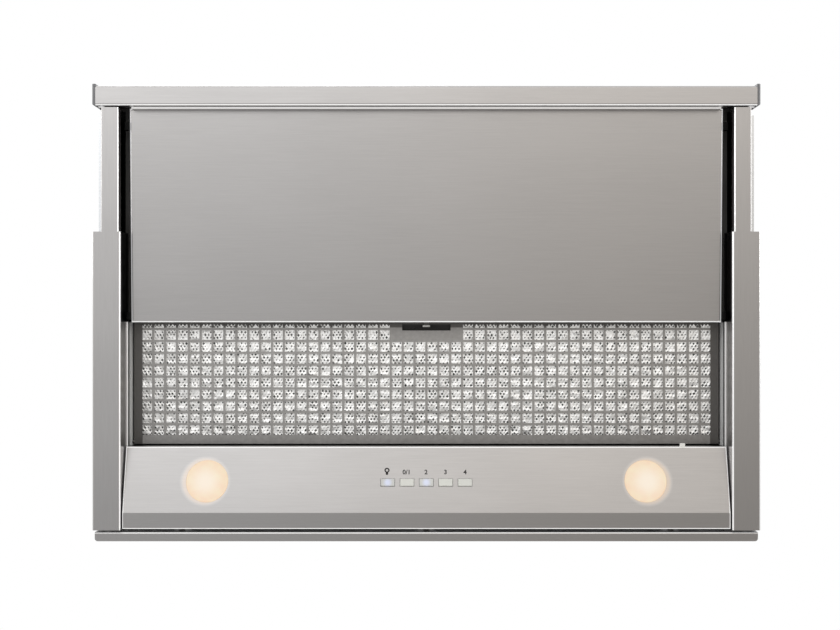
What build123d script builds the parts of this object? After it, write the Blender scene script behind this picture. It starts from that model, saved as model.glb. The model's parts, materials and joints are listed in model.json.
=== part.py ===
from build123d import *
import math
import os

# A telescopic range hood for a wall cabinet. All sizes are in millimetres.
# X runs to the right as seen by the cook, Y to the wall and Z up.
# It is drawn with the slide pulled out. The origin lies on the underside, midway
# along the width and midway between the front bar and the wall.

# Overall sizes
hood_width = 598.0
closed_depth = 297.4  # wall face to front bar with the slide pushed in
slide_travel = 112.0
base_height = 56.0  # underside of the side profiles to the top of the deck
shell_height = 304.0  # upper housing above the deck
spigot_height = 40.0
sheet = 1.0  # steel sheet of the casing
bend = 2.0  # outer radius of a fold
small_fold = 0.5  # inner radius where the fold is small
tight_fold = 0.2  # inner radius of the narrow guide profiles
slack = 0.4  # play between pieces that move past each other

# Side profiles, folded sheet channels under the cabinet's sides
profile_width = 25.5
profile_inner_height = 27.5
profile_flange = 14.0
hem_height = 2.5
hem_round = 0.45  # of the sheet

# Front bar of the slide, its end caps and the gap to the profiles when closed
bar_depth = 17.6
bar_underside = 0.5
bar_rear_lip = 13.5
bar_top_flange = 14.0
closed_gap = 0.8
cap_width = 3.0
cap_proud = 1.8
cap_plug = 3.3
cap_hook = 3.6
cap_hook_wall = 1.3
cap_hook_height = 7.0
cap_hook_rise = 1.5
cap_play = 0.6
cap_edge = 0.5  # front and top of its outer face
cap_round = 2.3  # bottom and rear of its outer face
cap_underside = 0.2

# Slide panel, the sloping tray that the cook sees, and the plate over it
panel_front_gap = 1.0
panel_front_height = 11.0
panel_rear_height = 18.0
panel_side_gap = 5.7
panel_control_gap = 1.55
lip_underside = 1.2  # of the double fold that hangs from the panel's front
lip_inset = 4.0  # from the panel's sides
cover_rise = 3.0  # over the inner wall of the side profile
cover_setback = 4.0
cover_reach = 5.0  # over the rear lip of the bar

# Slide rails and the ball guides beside them
rail_underside = 1.8
rail_wall_gap = 1.2
rail_bar_gap = 1.3
rail_lip = 10.0
rail_end_gap = 6.0
tongue_width = 8.0  # the part of the rail that reaches into the bar
tongue_foot = 12.0
tongue_lap = 4.0
tongue_gap = 2.0
guide_depth = 6.7  # room between the rail and the outer wall of the profile
guide_centre = 16.0
channel_height = 18.0
channel_setback = 8.5
channel_flange_gap = 1.3  # from the rail to the channel's edges
runner_setback = 6.0
runner_reach = 1.6  # past the middle of the balls
ball_inset = 2.7  # middle of the balls from the rail
ball_radius = 1.45
ball_play = 0.3
ball_pitch = 15.0
cage_sheet = 0.7
cage_end = 4.0
cage_setback = 12.0
cage_reach = 1.25  # before the middle of the balls
cage_play = 0.35
cage_hole_play = 0.15

# Glide pads on the sides of the slide panel
glide_reach = 4.4
glide_length = 7.0
glide_height = 8.0
glide_drop = 2.0
glide_round = 1.6
glide_front_place = 16.0
glide_rear_place = 6.0

# Grease filter
filter_sheet = 0.8
filter_height = 10.0
filter_headroom = 4.0  # under the deck
filter_side_gap = 3.1
filter_front_gap = 0.75
filter_rear_gap = 1.1
hole_size = 9.0
hole_pitch = 11.0
rear_border = 8.2
side_border = 6.0  # least border beside the outer holes
front_border = 0.4  # behind the front wall, where the last row is cut short
least_hole = 2.0  # a front row shorter than this is left out
recess_border = 0.8  # beside the latch recess
pack_play = 0.3
mesh_gap = 0.1
mesh_height = 6.4
mesh_rear_margin = 4.2
back_band = 10.0
back_sheet = 0.8
back_bars = 5
pin_radius = 1.5
pin_inset = 2.0  # hinge axis ahead of the filter's rear edge
pin_rise = 1.6  # hinge axis above the filter's underside
pin_play = 0.3
pin_proud = 0.8  # past the plenum wall

# Latch of the filter: cup, slider, bowed spring and sprung strike
latch_half = 22.4
latch_depth = 5.5
latch_height = 7.2
latch_wall = 0.6
knob_width = 6.8
knob_depth = 1.9
knob_play = 0.35
knob_round = 0.5
knob_recess = 0.2
bolt_width = 5.0
bolt_height = 2.2
bolt_reach = 2.4
bolt_rise = 2.6
strike_width = 10.0
strike_sheet = 0.5
strike_lap = 1.3
bow_sheet = 0.3  # the bowed spring behind the knob
bow_inset = 5.0
bow_play = 0.5
bolt_notch_play = 2.0  # beside the bolt where it swings past the slide panel
bolt_notch_rise = 0.2  # over the fold of the slide panel
rail_notch_play = 1.0  # over the bolt in the front rail

# Plenum walls and the rail that carries the strike
plenum_play = 1.5  # over the slide's cover
plenum_flange = 10.0
plenum_side_gap = 1.6  # beside the filter
plenum_rear_gap = 2.0
front_rail_gap = 0.8

# Deck, the top of the lower part
deck_setback = 1.0  # behind the front of the side profiles
deck_front_gap = 1.0  # its front wall over the plenum's lower edge
deck_rear_edge = 10.0  # lower edge of its rear wall
deck_corner = 5.0  # cut out for the side profiles
deck_open_margin = 2.0

# Control panel, flat at the wall and sloping up to the filter
control_flat = 14.5
control_slope = 57.7
control_rise = 16.0
control_side_gap = 1.2
control_wall = 25.0  # height of its side and rear walls
control_underside = 1.0
control_flange = 12.0
control_lap = 5.0  # of the wall up to the deck behind the panel's front wall

# Push buttons, their switches and board
button_count = 5
button_pitch = 17.4
button_width = 12.3
button_height = 6.5
button_proud = 1.0
button_rim = 1.3
button_rim_width = 1.2
button_round = 0.45
button_travel = 1.2
button_place = 27.2  # up the slope from the fold
stem_radius = 1.5
stem_length = 5.7
switch_size = 8.0
switch_height = 8.3
switch_wall = 0.8
switch_gap = 0.8  # left under the rim of a pressed button
board_thickness = 1.6
board_half = 58.0
board_depth = 28.0
box_wall = 1.5
box_gap = 4.0
box_post_radius = 2.5
box_post_inset = 5.0
spring_wire = 0.3
spring_play = 0.25
spring_turns = 4

# Lamps
lamp_inset = 75.0  # lamp centre from the end of the control panel
lamp_place = 28.4
lens_radius = 18.7
lens_play = 0.3
lens_thickness = 3.0
lens_rim = 1.8
lens_rim_thickness = 1.2
lens_proud = 0.3
lamp_pocket_play = 0.2
lamp_body_wall = 1.3
lamp_body_floor = 2.0
lamp_body_height = 14.0

# Clip over the top fold of the control panel
clip_x = 232.0
clip_width = 4.7
clip_leg = 1.6
clip_tab = 3.0  # ahead of the fold
clip_sheet = 0.8
clip_drop = 1.0
clip_height = 1.4

# Rear strip at the wall
strip_depth = 8.1
strip_gap = 2.1
strip_inset = 2.0
strip_underside = 3.0
strip_top = 51.0
strip_corner = 2.7
strip_boss_radius = 8.0
strip_boss_inset = 74.0
strip_boss_rise = 30.0

# Upper housing and its fixing brackets to the cabinet sides
shell_wall_gap = 2.5
shell_flange = 12.0
shell_screw_inset = 52.0
cabinet_side = 17.0  # side board of the cabinet, from the hood's end
bracket_play = 0.5
bracket_reach = 19.5
bracket_sheet = 2.0
bracket_length = 80.0
bracket_height = 40.0
bracket_z = 72.0
bracket_place = 120.0  # middle of the bracket from the rear wall
bracket_bend = 3.0
fixing_hole_radius = 2.6
fixing_pitch = 40.0
fixing_rise = 24.0

# Duct spigot with its two flaps
spigot_radius = 74.5
spigot_wall = 2.0
spigot_flange = 10.0
flap_rise = 12.0
flap_gap = 1.3
flap_thickness = 1.2
flap_setback = 3.8
flap_pin_radius = 2.0
flap_pin_play = 0.05
flap_pin_setback = 0.3
flap_lap = 1.0
flap_end_gap = 6.0
knuckle_wall = 0.9
knuckle_play = 0.3
knuckle_count = 4
knuckle_gap = 2.0
ledge_width = 3.5
ledge_thickness = 1.5
spigot_flange_sheet = 2.0
lid_screw_inset = 20.0

# Fan: scroll casing, drum impeller, and the motor inside the impeller
fan_rise = 149.0  # fan axis above the deck
impeller_radius = 85.0
blade_depth = 14.5
blade_sheet = 1.2
blade_count = 36
blade_tilt = 35.0
impeller_half = 69.0
impeller_ring = 3.0
disc_thickness = 2.0
hub_radius = 10.0
hub_length = 16.0
scroll_gap = 8.0
scroll_growth = 23.0
scroll_wall = 2.0
scroll_side_gap = 9.0
scroll_shell_gap = 6.0
outlet_front = 30.0  # front wall of the outlet ahead of the fan axis
inlet_gap = 4.5  # inlet inside the blades
inlet_lip = 6.0
scroll_flange = 8.0
motor_radius = 44.0
motor_wall = 2.0
motor_front = 8.0  # motor face from the middle of the impeller
motor_length = 54.0
motor_boss_radius = 20.0
shaft_radius = 4.0
shaft_play = 0.05
rotor_radius = 27.0
stator_play = 0.8
stator_end_gap = 12.0
rotor_end_gap = 1.0
shaft_end = 4.0
bracket_arm_width = 12.0
bracket_arm_sheet = 3.0
arm_foot = 12.0
arm_foot_gap = 6.0  # from the inlet
arm_hub_margin = 3.0
arm_foot_lift = 1.0

# Electrical pieces in the housing
terminal_x = 150.0
terminal_width = 80.0
terminal_depth = 65.0
terminal_wall_gap = 7.0
terminal_height = 50.0
terminal_wall = 2.0
terminal_lid_thickness = 3.0
gland_thread = 7.9
gland_hex = 10.0
gland_dome = 8.5
gland_bore = 4.5
gland_hex_height = 8.0
gland_height = 18.0
gland_tail = 10.0
gland_round = 2.5
loom_radius = 3.0
loom_bend = 20.0
loom_hole_play = 1.5
motor_lead_radius = 2.5
capacitor_radius = 17.5
capacitor_height = 70.0
capacitor_x = 150.0
capacitor_wall_gap = 15.0
capacitor_round = 2.0
stud_radius = 4.0
stud_height = 8.0
reed_width = 30.0
reed_height = 6.0
reed_depth = 8.0
reed_inset = 40.0
reed_rise = 3.0
magnet_size = 10.0
magnet_thickness = 3.0
magnet_setback = 2.0

# Screws and rivets
screw_radius = 1.75
screw_head_radius = 3.5
screw_head = 2.0
screw_length = 6.0
rivet_radius = 1.5
rivet_head_radius = 2.5
rivet_head = 0.7
rivet_length = 3.0
rivet_end_gap = 20.0
rivet_bore_depth = 5.0

# Places worked out from the sizes above
half_width = hood_width / 2
y_wall = (closed_depth + slide_travel) / 2
y_front = -y_wall
deck_z = base_height - sheet
shell_top = base_height + shell_height

bar_y0 = y_front + cap_proud
bar_y1 = bar_y0 + bar_depth
bar_top = deck_z - sheet
profile_y0 = bar_y1 + slide_travel + closed_gap
profile_y1 = y_wall - strip_depth - strip_gap
profile_x0 = half_width - profile_width

cover_z = profile_inner_height + cover_rise
rail_x0 = profile_x0 + sheet + rail_wall_gap
rail_x1 = half_width - sheet - guide_depth
rail_y0 = bar_y1 + rail_bar_gap
rail_y1 = profile_y1 - rail_end_gap - slide_travel

control_y1 = profile_y1 - sheet
control_fold_y = control_y1 - control_flat
control_edge_y = control_fold_y - control_slope
control_y0 = control_edge_y + sheet
control_top = control_underside + control_rise
control_half = profile_x0 - control_side_gap

panel_half = profile_x0 - panel_side_gap
panel_y0 = bar_y1 + panel_front_gap
panel_y1 = control_y0 - panel_control_gap - slide_travel

filter_half = profile_x0 - filter_side_gap
filter_y0 = panel_y1 + filter_front_gap
filter_y1 = control_y0 - filter_rear_gap
filter_z1 = deck_z - filter_headroom
filter_z0 = filter_z1 - filter_height
pin_y = filter_y1 - pin_inset
pin_z = filter_z0 + pin_rise

plenum_x = filter_half + plenum_side_gap
plenum_z = cover_z + sheet + plenum_play
front_rail_y = filter_y0 - front_rail_gap

fan_z = base_height + fan_rise
inlet_radius = impeller_radius - blade_depth - inlet_gap
scroll_start = impeller_radius + scroll_gap
scroll_end = scroll_start + scroll_growth
shell_half = half_width - cabinet_side - bracket_play - bracket_reach
shell_y1 = profile_y1 - shell_wall_gap
fan_y = shell_y1 - sheet - scroll_shell_gap - scroll_wall - scroll_end
shell_y0 = 2 * fan_y - shell_y1
bracket_face = shell_half + bracket_reach
scroll_half = impeller_half + scroll_side_gap + scroll_wall
scroll_top = shell_top - sheet
outlet_y0 = fan_y - outlet_front
outlet_y1 = fan_y + scroll_end
spigot_y = (outlet_y0 + outlet_y1) / 2
flap_z = shell_top + flap_rise
knuckle_radius = flap_pin_radius + knuckle_play + knuckle_wall

small_bend = sheet + small_fold
tight_bend = sheet + tight_fold

# Points on the slope are given as X, distance up the slope from the fold,
# and height out of its face towards the cook
slope_angle = math.atan2(control_rise, control_slope)
slope_out = (0, -math.sin(slope_angle), -math.cos(slope_angle))
slope = Plane(origin=(0, control_fold_y, control_underside), x_dir=(1, 0, 0), z_dir=slope_out)
button_xs = [(i - (button_count - 1) / 2) * button_pitch for i in range(button_count)]
lamp_xs = [-(control_half - lamp_inset), control_half - lamp_inset]
switch_face = -(sheet + slack + button_rim + button_travel + switch_gap)
board_face = switch_face - switch_height
board_low = board_face - board_thickness
box_half = board_half + box_gap
box_low = board_low - box_gap - box_wall
loom_start = slope.from_local_coords((-box_half, button_place + 2, box_low / 2))

parts = {}


def block(x0, x1, y0, y1, z0, z1):
    """A box between two corners."""
    middle = Pos((x0 + x1) / 2, (y0 + y1) / 2, (z0 + z1) / 2)
    return middle * Box(x1 - x0, y1 - y0, z1 - z0)


def slope_block(x, y, width, height, low, high):
    """A box standing on the slope, from one height out of it to another."""
    return slope * (Pos(x, y, (low + high) / 2) * Box(width, height, high - low))


def slope_disc(x, y, radius, low, high):
    """A cylinder standing on the slope, from one height out of it to another."""
    return slope * (Pos(x, y, (low + high) / 2) * Cylinder(radius, high - low))


def rod(start, end, radius):
    """A round bar between two points."""
    way = Vector(*end) - Vector(*start)
    plane = Plane(origin=start, z_dir=way)
    return plane * Cylinder(radius, way.length, align=(Align.CENTER, Align.CENTER, Align.MIN))


def folded(points, start, end, along, wall=sheet, radius=bend, inside=-1):
    """Sheet folded along a line of points on one face, carried along X or Y."""
    line = FilletPolyline(*points, radius=radius) if len(points) > 2 else Line(*points)
    side = Side.LEFT if inside > 0 else Side.RIGHT
    face = make_face(offset(line, amount=wall, side=side))
    if along == "X":
        plane = Plane(origin=(start, 0, 0), x_dir=(0, 1, 0), z_dir=(1, 0, 0))
    else:
        plane = Plane(origin=(0, end, 0), x_dir=(1, 0, 0), z_dir=(0, -1, 0))
    solid = extrude(plane * face, amount=abs(end - start))
    return solid


def prism(points, x0, x1):
    """An outline of Y and Z points carried along X."""
    plane = Plane(origin=(x0, 0, 0), x_dir=(0, 1, 0), z_dir=(1, 0, 0))
    return extrude(plane * make_face(Polyline(*points, close=True)), amount=x1 - x0)


def mirrored(piece):
    """The same piece on the other side of the hood."""
    return mirror(piece, about=Plane.YZ)


def tray(points, half, radius):
    """An open tray of sheet: an outline of Y and Z points, folded up on all sides."""
    body = prism(points, -half, half)
    low = [e for e in body.edges() if e.center().Z < max(p[1] for p in points) - radius]
    upright = [e for e in low if abs(e.tangent_at(0.5).Z) > 0.9]
    folds = [e for e in low if e not in upright]
    body = fillet(folds, radius)
    return offset(body, amount=-sheet, openings=body.faces().sort_by(Axis.Z)[-1])


def coil(radius, height, turns, wire):
    """A round-wire compression spring standing on Z."""
    path = Helix(pitch=height / turns, height=height, radius=radius)
    section = Plane(origin=path @ 0, z_dir=path % 0) * Circle(wire / 2)
    return sweep(section, path=path)


def add(name, *solids):
    """Keeps a node's solids under its name."""
    parts[name] = list(solids)


# Side profiles
def side_profile():
    """A channel with a hemmed inner wall, and a flange under the cabinet's side."""
    outline = [
        (half_width - profile_flange, base_height),
        (half_width, base_height),
        (half_width, 0),
        (profile_x0, 0),
        (profile_x0, profile_inner_height),
    ]
    channel = folded(outline, profile_y0, profile_y1, "Y")
    hem_z = profile_inner_height - hem_height
    hem = block(profile_x0 - sheet, profile_x0, profile_y0, profile_y1, hem_z, profile_inner_height)
    hem = fillet(hem.edges().filter_by(Axis.Y).group_by(Axis.X)[0], hem_round * sheet)
    return channel + hem


right_profile = side_profile()
add("side_profile_right", right_profile)
add("side_profile_left", mirrored(right_profile))


# Deck, with its walls folded down at the front and the rear
deck_open_x = shell_half - shell_flange
deck_open_y0 = filter_y0 - deck_open_margin
deck_open_y1 = control_y0
screw_xs = [-shell_half + shell_screw_inset, 0, shell_half - shell_screw_inset]
shell_screws = [(x, shell_y0 + shell_flange / 2) for x in screw_xs]
shell_screws += [(x, shell_y1 - shell_flange / 2) for x in screw_xs]


def deck():
    """The top of the lower part, open over the filter, lapped under the profiles."""
    outline = [
        (profile_y0 + deck_setback, plenum_z + deck_front_gap),
        (profile_y0 + deck_setback, base_height),
        (profile_y1, base_height),
        (profile_y1, deck_rear_edge),
    ]
    plate_half = half_width - profile_flange - slack
    plate = folded(outline, -plate_half, plate_half, "X")
    lap_x0 = plenum_x + sheet + plenum_flange + slack
    lap_y0 = profile_y0 + deck_corner
    lap_y1 = profile_y1 - deck_corner
    lap = block(lap_x0, half_width - bend, lap_y0, lap_y1, deck_z - sheet, deck_z)
    plate = plate + lap + mirrored(lap)
    notch_x = profile_x0 - sheet - slack
    corner = block(notch_x, half_width, profile_y1 - deck_corner, profile_y1 + 1, 0, deck_z)
    front_corner = block(notch_x, half_width, profile_y0, profile_y0 + deck_corner, 0, deck_z)
    for cut in (corner, front_corner):
        plate = plate - cut - mirrored(cut)
    plate = plate - block(
        -deck_open_x, deck_open_x, deck_open_y0, deck_open_y1, deck_z - 1, base_height + 1
    )
    for x, y in shell_screws:
        plate = plate - rod((x, y, deck_z - 1), (x, y, base_height + 1), screw_radius)
    loom_hole = (-terminal_x, loom_start.Y)
    loom_hole_radius = loom_radius + loom_hole_play
    return plate - rod((*loom_hole, deck_z - 1), (*loom_hole, base_height + 1), loom_hole_radius)


add("deck", deck())


# Plenum walls beside the filter
def plenum_side():
    """A wall that hangs from the deck, with the hole for the filter's pin."""
    outline = [
        (plenum_x, plenum_z),
        (plenum_x, deck_z),
        (plenum_x + sheet + plenum_flange, deck_z),
    ]
    wall = folded(outline, front_rail_y, control_y1 - plenum_rear_gap, "Y", radius=small_bend)
    hole_end = plenum_x + sheet + 1
    return wall - rod((plenum_x - 1, pin_y, pin_z), (hole_end, pin_y, pin_z), pin_radius + pin_play)


right_wall = plenum_side()
add("plenum_sides", right_wall, mirrored(right_wall))

# Rail in front of the filter, notched for the latch bolt
bolt_z = filter_z0 + bolt_rise
rail_web = [
    (front_rail_y, plenum_z + slack),
    (front_rail_y, deck_z),
    (front_rail_y - plenum_flange, deck_z),
]
rail_half = plenum_x - slack
catch_rail = folded(rail_web, -rail_half, rail_half, "X", radius=small_bend, inside=1)
notch_top = bolt_z + bolt_height + rail_notch_play
catch_rail -= block(
    -strike_width / 2 - slack,
    strike_width / 2 + slack,
    front_rail_y - 2,
    front_rail_y + 1,
    plenum_z - 1,
    notch_top,
)
add("front_rail", catch_rail)

# Strike: a sprung leaf on the front of the rail, its lip under the bolt
strike_y = front_rail_y - sheet
bolt_y0 = filter_y0 - bolt_reach
lip_y1 = bolt_y0 + strike_lap
lip_z = bolt_z - slack
leaf = block(
    -strike_width / 2, strike_width / 2, strike_y - strike_sheet, strike_y, lip_z, deck_z - 3
)
lip = block(
    -strike_width / 2,
    strike_width / 2,
    strike_y - strike_sheet,
    lip_y1,
    lip_z - strike_sheet,
    lip_z,
)
bolt_way = block(
    -bolt_width / 2 - slack,
    bolt_width / 2 + slack,
    strike_y - 2,
    strike_y + 1,
    lip_z,
    bolt_z + bolt_height + slack,
)
add("latch_strike", leaf + lip - bolt_way)


# Control panel
def control_panel():
    """The folded panel with its button and lamp holes, and the wall up to the deck."""
    top = control_underside + control_wall
    outline = [
        (control_edge_y, control_top),
        (control_fold_y, control_underside),
        (control_y1, control_underside),
        (control_y1, top),
        (control_edge_y, top),
    ]
    panel = tray(outline, control_half, small_bend)
    wall_half = plenum_x - slack
    wall_low = top - control_lap
    panel += block(-wall_half, wall_half, control_y0, control_y0 + sheet, wall_low, deck_z)
    panel += block(
        -wall_half, wall_half, control_y0, control_y0 + control_flange, deck_z - sheet, deck_z
    )
    for x in button_xs:
        width = button_width + 2 * slack
        height = button_height + 2 * slack
        panel -= slope_block(x, button_place, width, height, -3, 3)
    for x in lamp_xs:
        panel -= slope_disc(x, lamp_place, lens_radius + lens_play, -3, 3)
    return panel


add("control_panel", control_panel())

# Buttons: a cap through the panel, a rim behind it and a stem into the switch
rim_top = -sheet - slack
rim_low = rim_top - button_rim
stem_low = rim_low - stem_length
for number, x in enumerate(button_xs, start=1):
    cap = slope_block(x, button_place, button_width, button_height, rim_top, button_proud)
    crown = cap.edges().filter_by(lambda e: slope.to_local_coords(e.center()).Z > button_proud - 0.01)
    cap = fillet(crown, button_round)
    width = button_width + 2 * button_rim_width
    height = button_height + 2 * button_rim_width
    rim = slope_block(x, button_place, width, height, rim_low, rim_top)
    stem = slope_disc(x, button_place, stem_radius, stem_low, rim_low)
    add(f"button_{number}", cap + rim + stem)

# Switches on their board, and the springs that return the buttons
switches = []
springs = []
bore_low = board_face + switch_wall
for x in button_xs:
    switch = slope_block(x, button_place, switch_size, switch_size, board_face, switch_face)
    switches.append(
        switch - slope_disc(x, button_place, stem_radius + slack, bore_low, switch_face + 1)
    )
    height = stem_low - bore_low - 2 * spring_play - spring_wire
    spring = coil(stem_radius - spring_wire, height, spring_turns, spring_wire)
    springs.append(slope * Pos(x, button_place, bore_low + spring_play + spring_wire / 2) * spring)
add("button_switches", *switches)
add("button_springs", *springs)

board = slope_block(0, button_place, 2 * board_half, board_depth, board_low, board_face)
add("control_board", board)

box_depth = board_depth + 2 * box_gap
box = slope_block(0, button_place, 2 * box_half, box_depth, box_low, -sheet)
box -= slope_block(
    0,
    button_place,
    2 * (box_half - box_wall),
    box_depth - 2 * box_wall,
    box_low + box_wall,
    0,
)
post_x = board_half - box_post_inset
post_y = board_depth / 2 - box_post_inset
for x in (-post_x, post_x):
    for y in (button_place - post_y, button_place + post_y):
        box += slope_disc(x, y, box_post_radius, box_low + box_wall / 2, board_low)
add("control_box", box)

# Lamps: a frosted lens held behind the panel by its module
lenses = []
modules = []
rim_radius = lens_radius + lens_rim
pocket_radius = rim_radius + lamp_pocket_play
lamp_body_radius = pocket_radius + lamp_body_wall
lamp_low = -sheet - lamp_body_height
for x in lamp_xs:
    lens = slope_disc(x, lamp_place, lens_radius, -lens_thickness, lens_proud)
    lens += slope_disc(x, lamp_place, rim_radius, -sheet - lens_rim_thickness, -sheet)
    lenses.append(lens)
    module = slope_disc(x, lamp_place, lamp_body_radius, lamp_low, -sheet)
    modules.append(module - slope_disc(x, lamp_place, pocket_radius, lamp_low + lamp_body_floor, 0))
add("lamp_lenses", *lenses)
add("lamp_modules", *modules)

# Clip over the top fold of the control panel, seated on the slope and the wall
clip_top = control_top + clip_height
clip = block(
    clip_x - clip_width / 2,
    clip_x + clip_width / 2,
    control_edge_y - clip_sheet,
    control_edge_y,
    control_top - clip_drop,
    clip_top,
)
clip += block(
    clip_x - clip_width / 2,
    clip_x + clip_width / 2,
    control_edge_y - clip_tab,
    control_edge_y,
    control_top - clip_drop,
    control_top - clip_drop + clip_sheet,
)
slope_length = control_slope / math.cos(slope_angle)
foot_middle = slope_length - clip_leg / 2 + clip_sheet / 2
clip += slope_block(clip_x, foot_middle, clip_width, clip_leg + clip_sheet, 0, clip_sheet)
add("panel_clip", clip)


# Ball guides: fixed channels, runners on the rails, and cages of balls between
channel_y0 = profile_y0 + channel_setback
channel_y1 = profile_y1 - rail_end_gap / 2
runner_half = channel_height / 2 - sheet - 2 * (ball_radius + ball_play)
ball_x = rail_x1 + ball_inset
cage_x1 = half_width - 2 * sheet - cage_play
flange_x = rail_x1 + channel_flange_gap
channel_outline = [
    (flange_x, guide_centre - channel_height / 2),
    (half_width - sheet, guide_centre - channel_height / 2),
    (half_width - sheet, guide_centre + channel_height / 2),
    (flange_x, guide_centre + channel_height / 2),
]
channel = folded(channel_outline, channel_y0, channel_y1, "Y", radius=tight_bend, inside=1)
add("guide_channels", channel, mirrored(channel))

runner_x1 = ball_x + runner_reach
runner_outline = [
    (runner_x1, guide_centre - runner_half),
    (rail_x1, guide_centre - runner_half),
    (rail_x1, guide_centre + runner_half),
    (runner_x1, guide_centre + runner_half),
]
runner = folded(runner_outline, rail_y0 + runner_setback, rail_y1, "Y", radius=tight_bend)
add("guide_runners", runner, mirrored(runner))

cage_y1 = rail_y1 - cage_end
cage_y0 = channel_y0 + cage_end + cage_setback
ball_rise = runner_half + ball_play + ball_radius
cage_half = ball_rise + cage_sheet / 2
cage_bend = cage_sheet + 0.3
cage_outline = [
    (ball_x - cage_reach, guide_centre - cage_half),
    (cage_x1, guide_centre - cage_half),
    (cage_x1, guide_centre + cage_half),
    (ball_x - cage_reach, guide_centre + cage_half),
]
cage = folded(cage_outline, cage_y0, cage_y1, "Y", wall=cage_sheet, radius=cage_bend, inside=1)
ball_count = int((cage_y1 - cage_y0 - 2 * cage_end) / ball_pitch) + 1
ball_y0 = (cage_y0 + cage_y1 - (ball_count - 1) * ball_pitch) / 2
balls = []
for i in range(ball_count):
    for sign in (-1, 1):
        spot = (ball_x, ball_y0 + i * ball_pitch, guide_centre + sign * ball_rise)
        balls.append(Pos(*spot) * Sphere(ball_radius))
        low = (spot[0], spot[1], spot[2] - ball_radius)
        high = (spot[0], spot[1], spot[2] + ball_radius)
        cage -= rod(low, high, ball_radius + cage_hole_play)
cages = [cage, *balls]
add("ball_cages", *cages, *[mirrored(piece) for piece in cages])


# Slide: rails, panel, cover, glide pads and the front bar with its caps
def slide_rail():
    """A folded rail whose upper part reaches into the front bar."""
    outline = [
        (rail_x0, rail_underside + rail_lip),
        (rail_x0, rail_underside),
        (rail_x1, rail_underside),
        (rail_x1, cover_z),
        (rail_x0, cover_z),
    ]
    rail = folded(outline, rail_y0, rail_y1, "Y", radius=small_bend, inside=1)
    tongue_z = bar_underside + bar_rear_lip + tongue_gap
    tongue_x = rail_x1 - tongue_width
    foot_x = rail_x1 - tongue_foot
    y0 = bar_y0 + sheet
    y1 = rail_y0 + tongue_lap
    tongue = block(tongue_x, rail_x1, y0, y1, cover_z - sheet, cover_z)
    tongue += block(rail_x1 - sheet, rail_x1, y0, y1, tongue_z, cover_z)
    tongue += block(foot_x, rail_x1, y0, y0 + sheet, tongue_z, cover_z)
    return rail + tongue


right_rail = slide_rail()
add("slide_rail_right", right_rail)
add("slide_rail_left", mirrored(right_rail))

panel_outline = [
    (panel_y0, panel_front_height),
    (panel_y1, panel_rear_height),
    (panel_y1, cover_z),
    (panel_y0, cover_z),
]
slide_panel = tray(panel_outline, panel_half, bend)
lip_half = panel_half - lip_inset
lip_low = lip_underside + sheet
lip_middle = panel_y0 + sheet
lip_top = panel_front_height + sheet
slide_panel += block(-lip_half, lip_half, panel_y0, lip_middle, lip_low, panel_front_height + bend)
slide_panel += block(-lip_half, lip_half, lip_middle, lip_middle + sheet, lip_low, lip_top)
slide_panel += rod((-lip_half, lip_middle, lip_low), (lip_half, lip_middle, lip_low), sheet)
notch_half = bolt_width / 2 + bolt_notch_play
notch_z = panel_rear_height + bend + bolt_notch_rise
slide_panel -= block(-notch_half, notch_half, panel_y1 - 2, panel_y1 + 1, notch_z, cover_z + 1)
add("slide_panel", slide_panel)

rivet_x = (rail_x0 + rail_x1) / 2
cover_y1 = panel_y1 - cover_setback
rivet_y0 = rail_y0 + rivet_end_gap
rivet_y1 = cover_y1 - rivet_end_gap
rivet_ys = [rivet_y0, (rivet_y0 + rivet_y1) / 2, rivet_y1]
cover_y0 = bar_y1 - cover_reach
cover = block(-rail_x1, rail_x1, cover_y0, cover_y1, cover_z, cover_z + sheet)
rivets = []
for y in rivet_ys:
    for x in (-rivet_x, rivet_x):
        top = cover_z + sheet
        cover -= rod((x, y, cover_z - 1), (x, y, top + 1), rivet_radius)
        rivet = rod((x, y, top - rivet_length), (x, y, top), rivet_radius)
        rivet += rod((x, y, top), (x, y, top + rivet_head), rivet_head_radius)
        rivets.append(rivet)
add("slide_cover", cover)
add("slide_rivets", *rivets)
for name in ("slide_rail_right", "slide_rail_left"):
    rail = parts[name][0]
    for y in rivet_ys:
        x = rivet_x if name.endswith("right") else -rivet_x
        rail -= rod((x, y, cover_z - rivet_bore_depth), (x, y, cover_z + 1), rivet_radius)
    parts[name] = [rail]


def glide(y, z):
    """A pad on the side of the slide panel, rounded where it faces the cook."""
    x1 = panel_half + glide_reach
    pad = block(panel_half, x1, y - glide_length / 2, y + glide_length / 2, z, z + glide_height)
    return fillet(pad.edges().filter_by(Axis.Y).group_by(Axis.Z)[0], glide_round)


def panel_height(y):
    """Height of the slide panel's underside at a depth."""
    share = (y - panel_y0) / (panel_y1 - panel_y0)
    return panel_front_height + share * (panel_rear_height - panel_front_height)


glides = []
for y in (panel_y0 + glide_front_place, panel_y1 - glide_rear_place):
    pad = glide(y, panel_height(y) - glide_drop)
    glides += [pad, mirrored(pad)]
add("slide_glides", *glides)

magnet_x = filter_half - reed_inset
magnet = block(
    magnet_x - magnet_size / 2,
    magnet_x + magnet_size / 2,
    cover_y1 - magnet_size - magnet_setback,
    cover_y1 - magnet_setback,
    cover_z - magnet_thickness,
    cover_z,
)
add("slide_magnet", magnet)

bar_outline = [
    (bar_y1, bar_underside + bar_rear_lip),
    (bar_y1, bar_underside),
    (bar_y0, bar_underside),
    (bar_y0, bar_top),
    (bar_y0 + bar_top_flange, bar_top),
]
bar_half = half_width - cap_width
add("front_bar", folded(bar_outline, -bar_half, bar_half, "X"))


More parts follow.
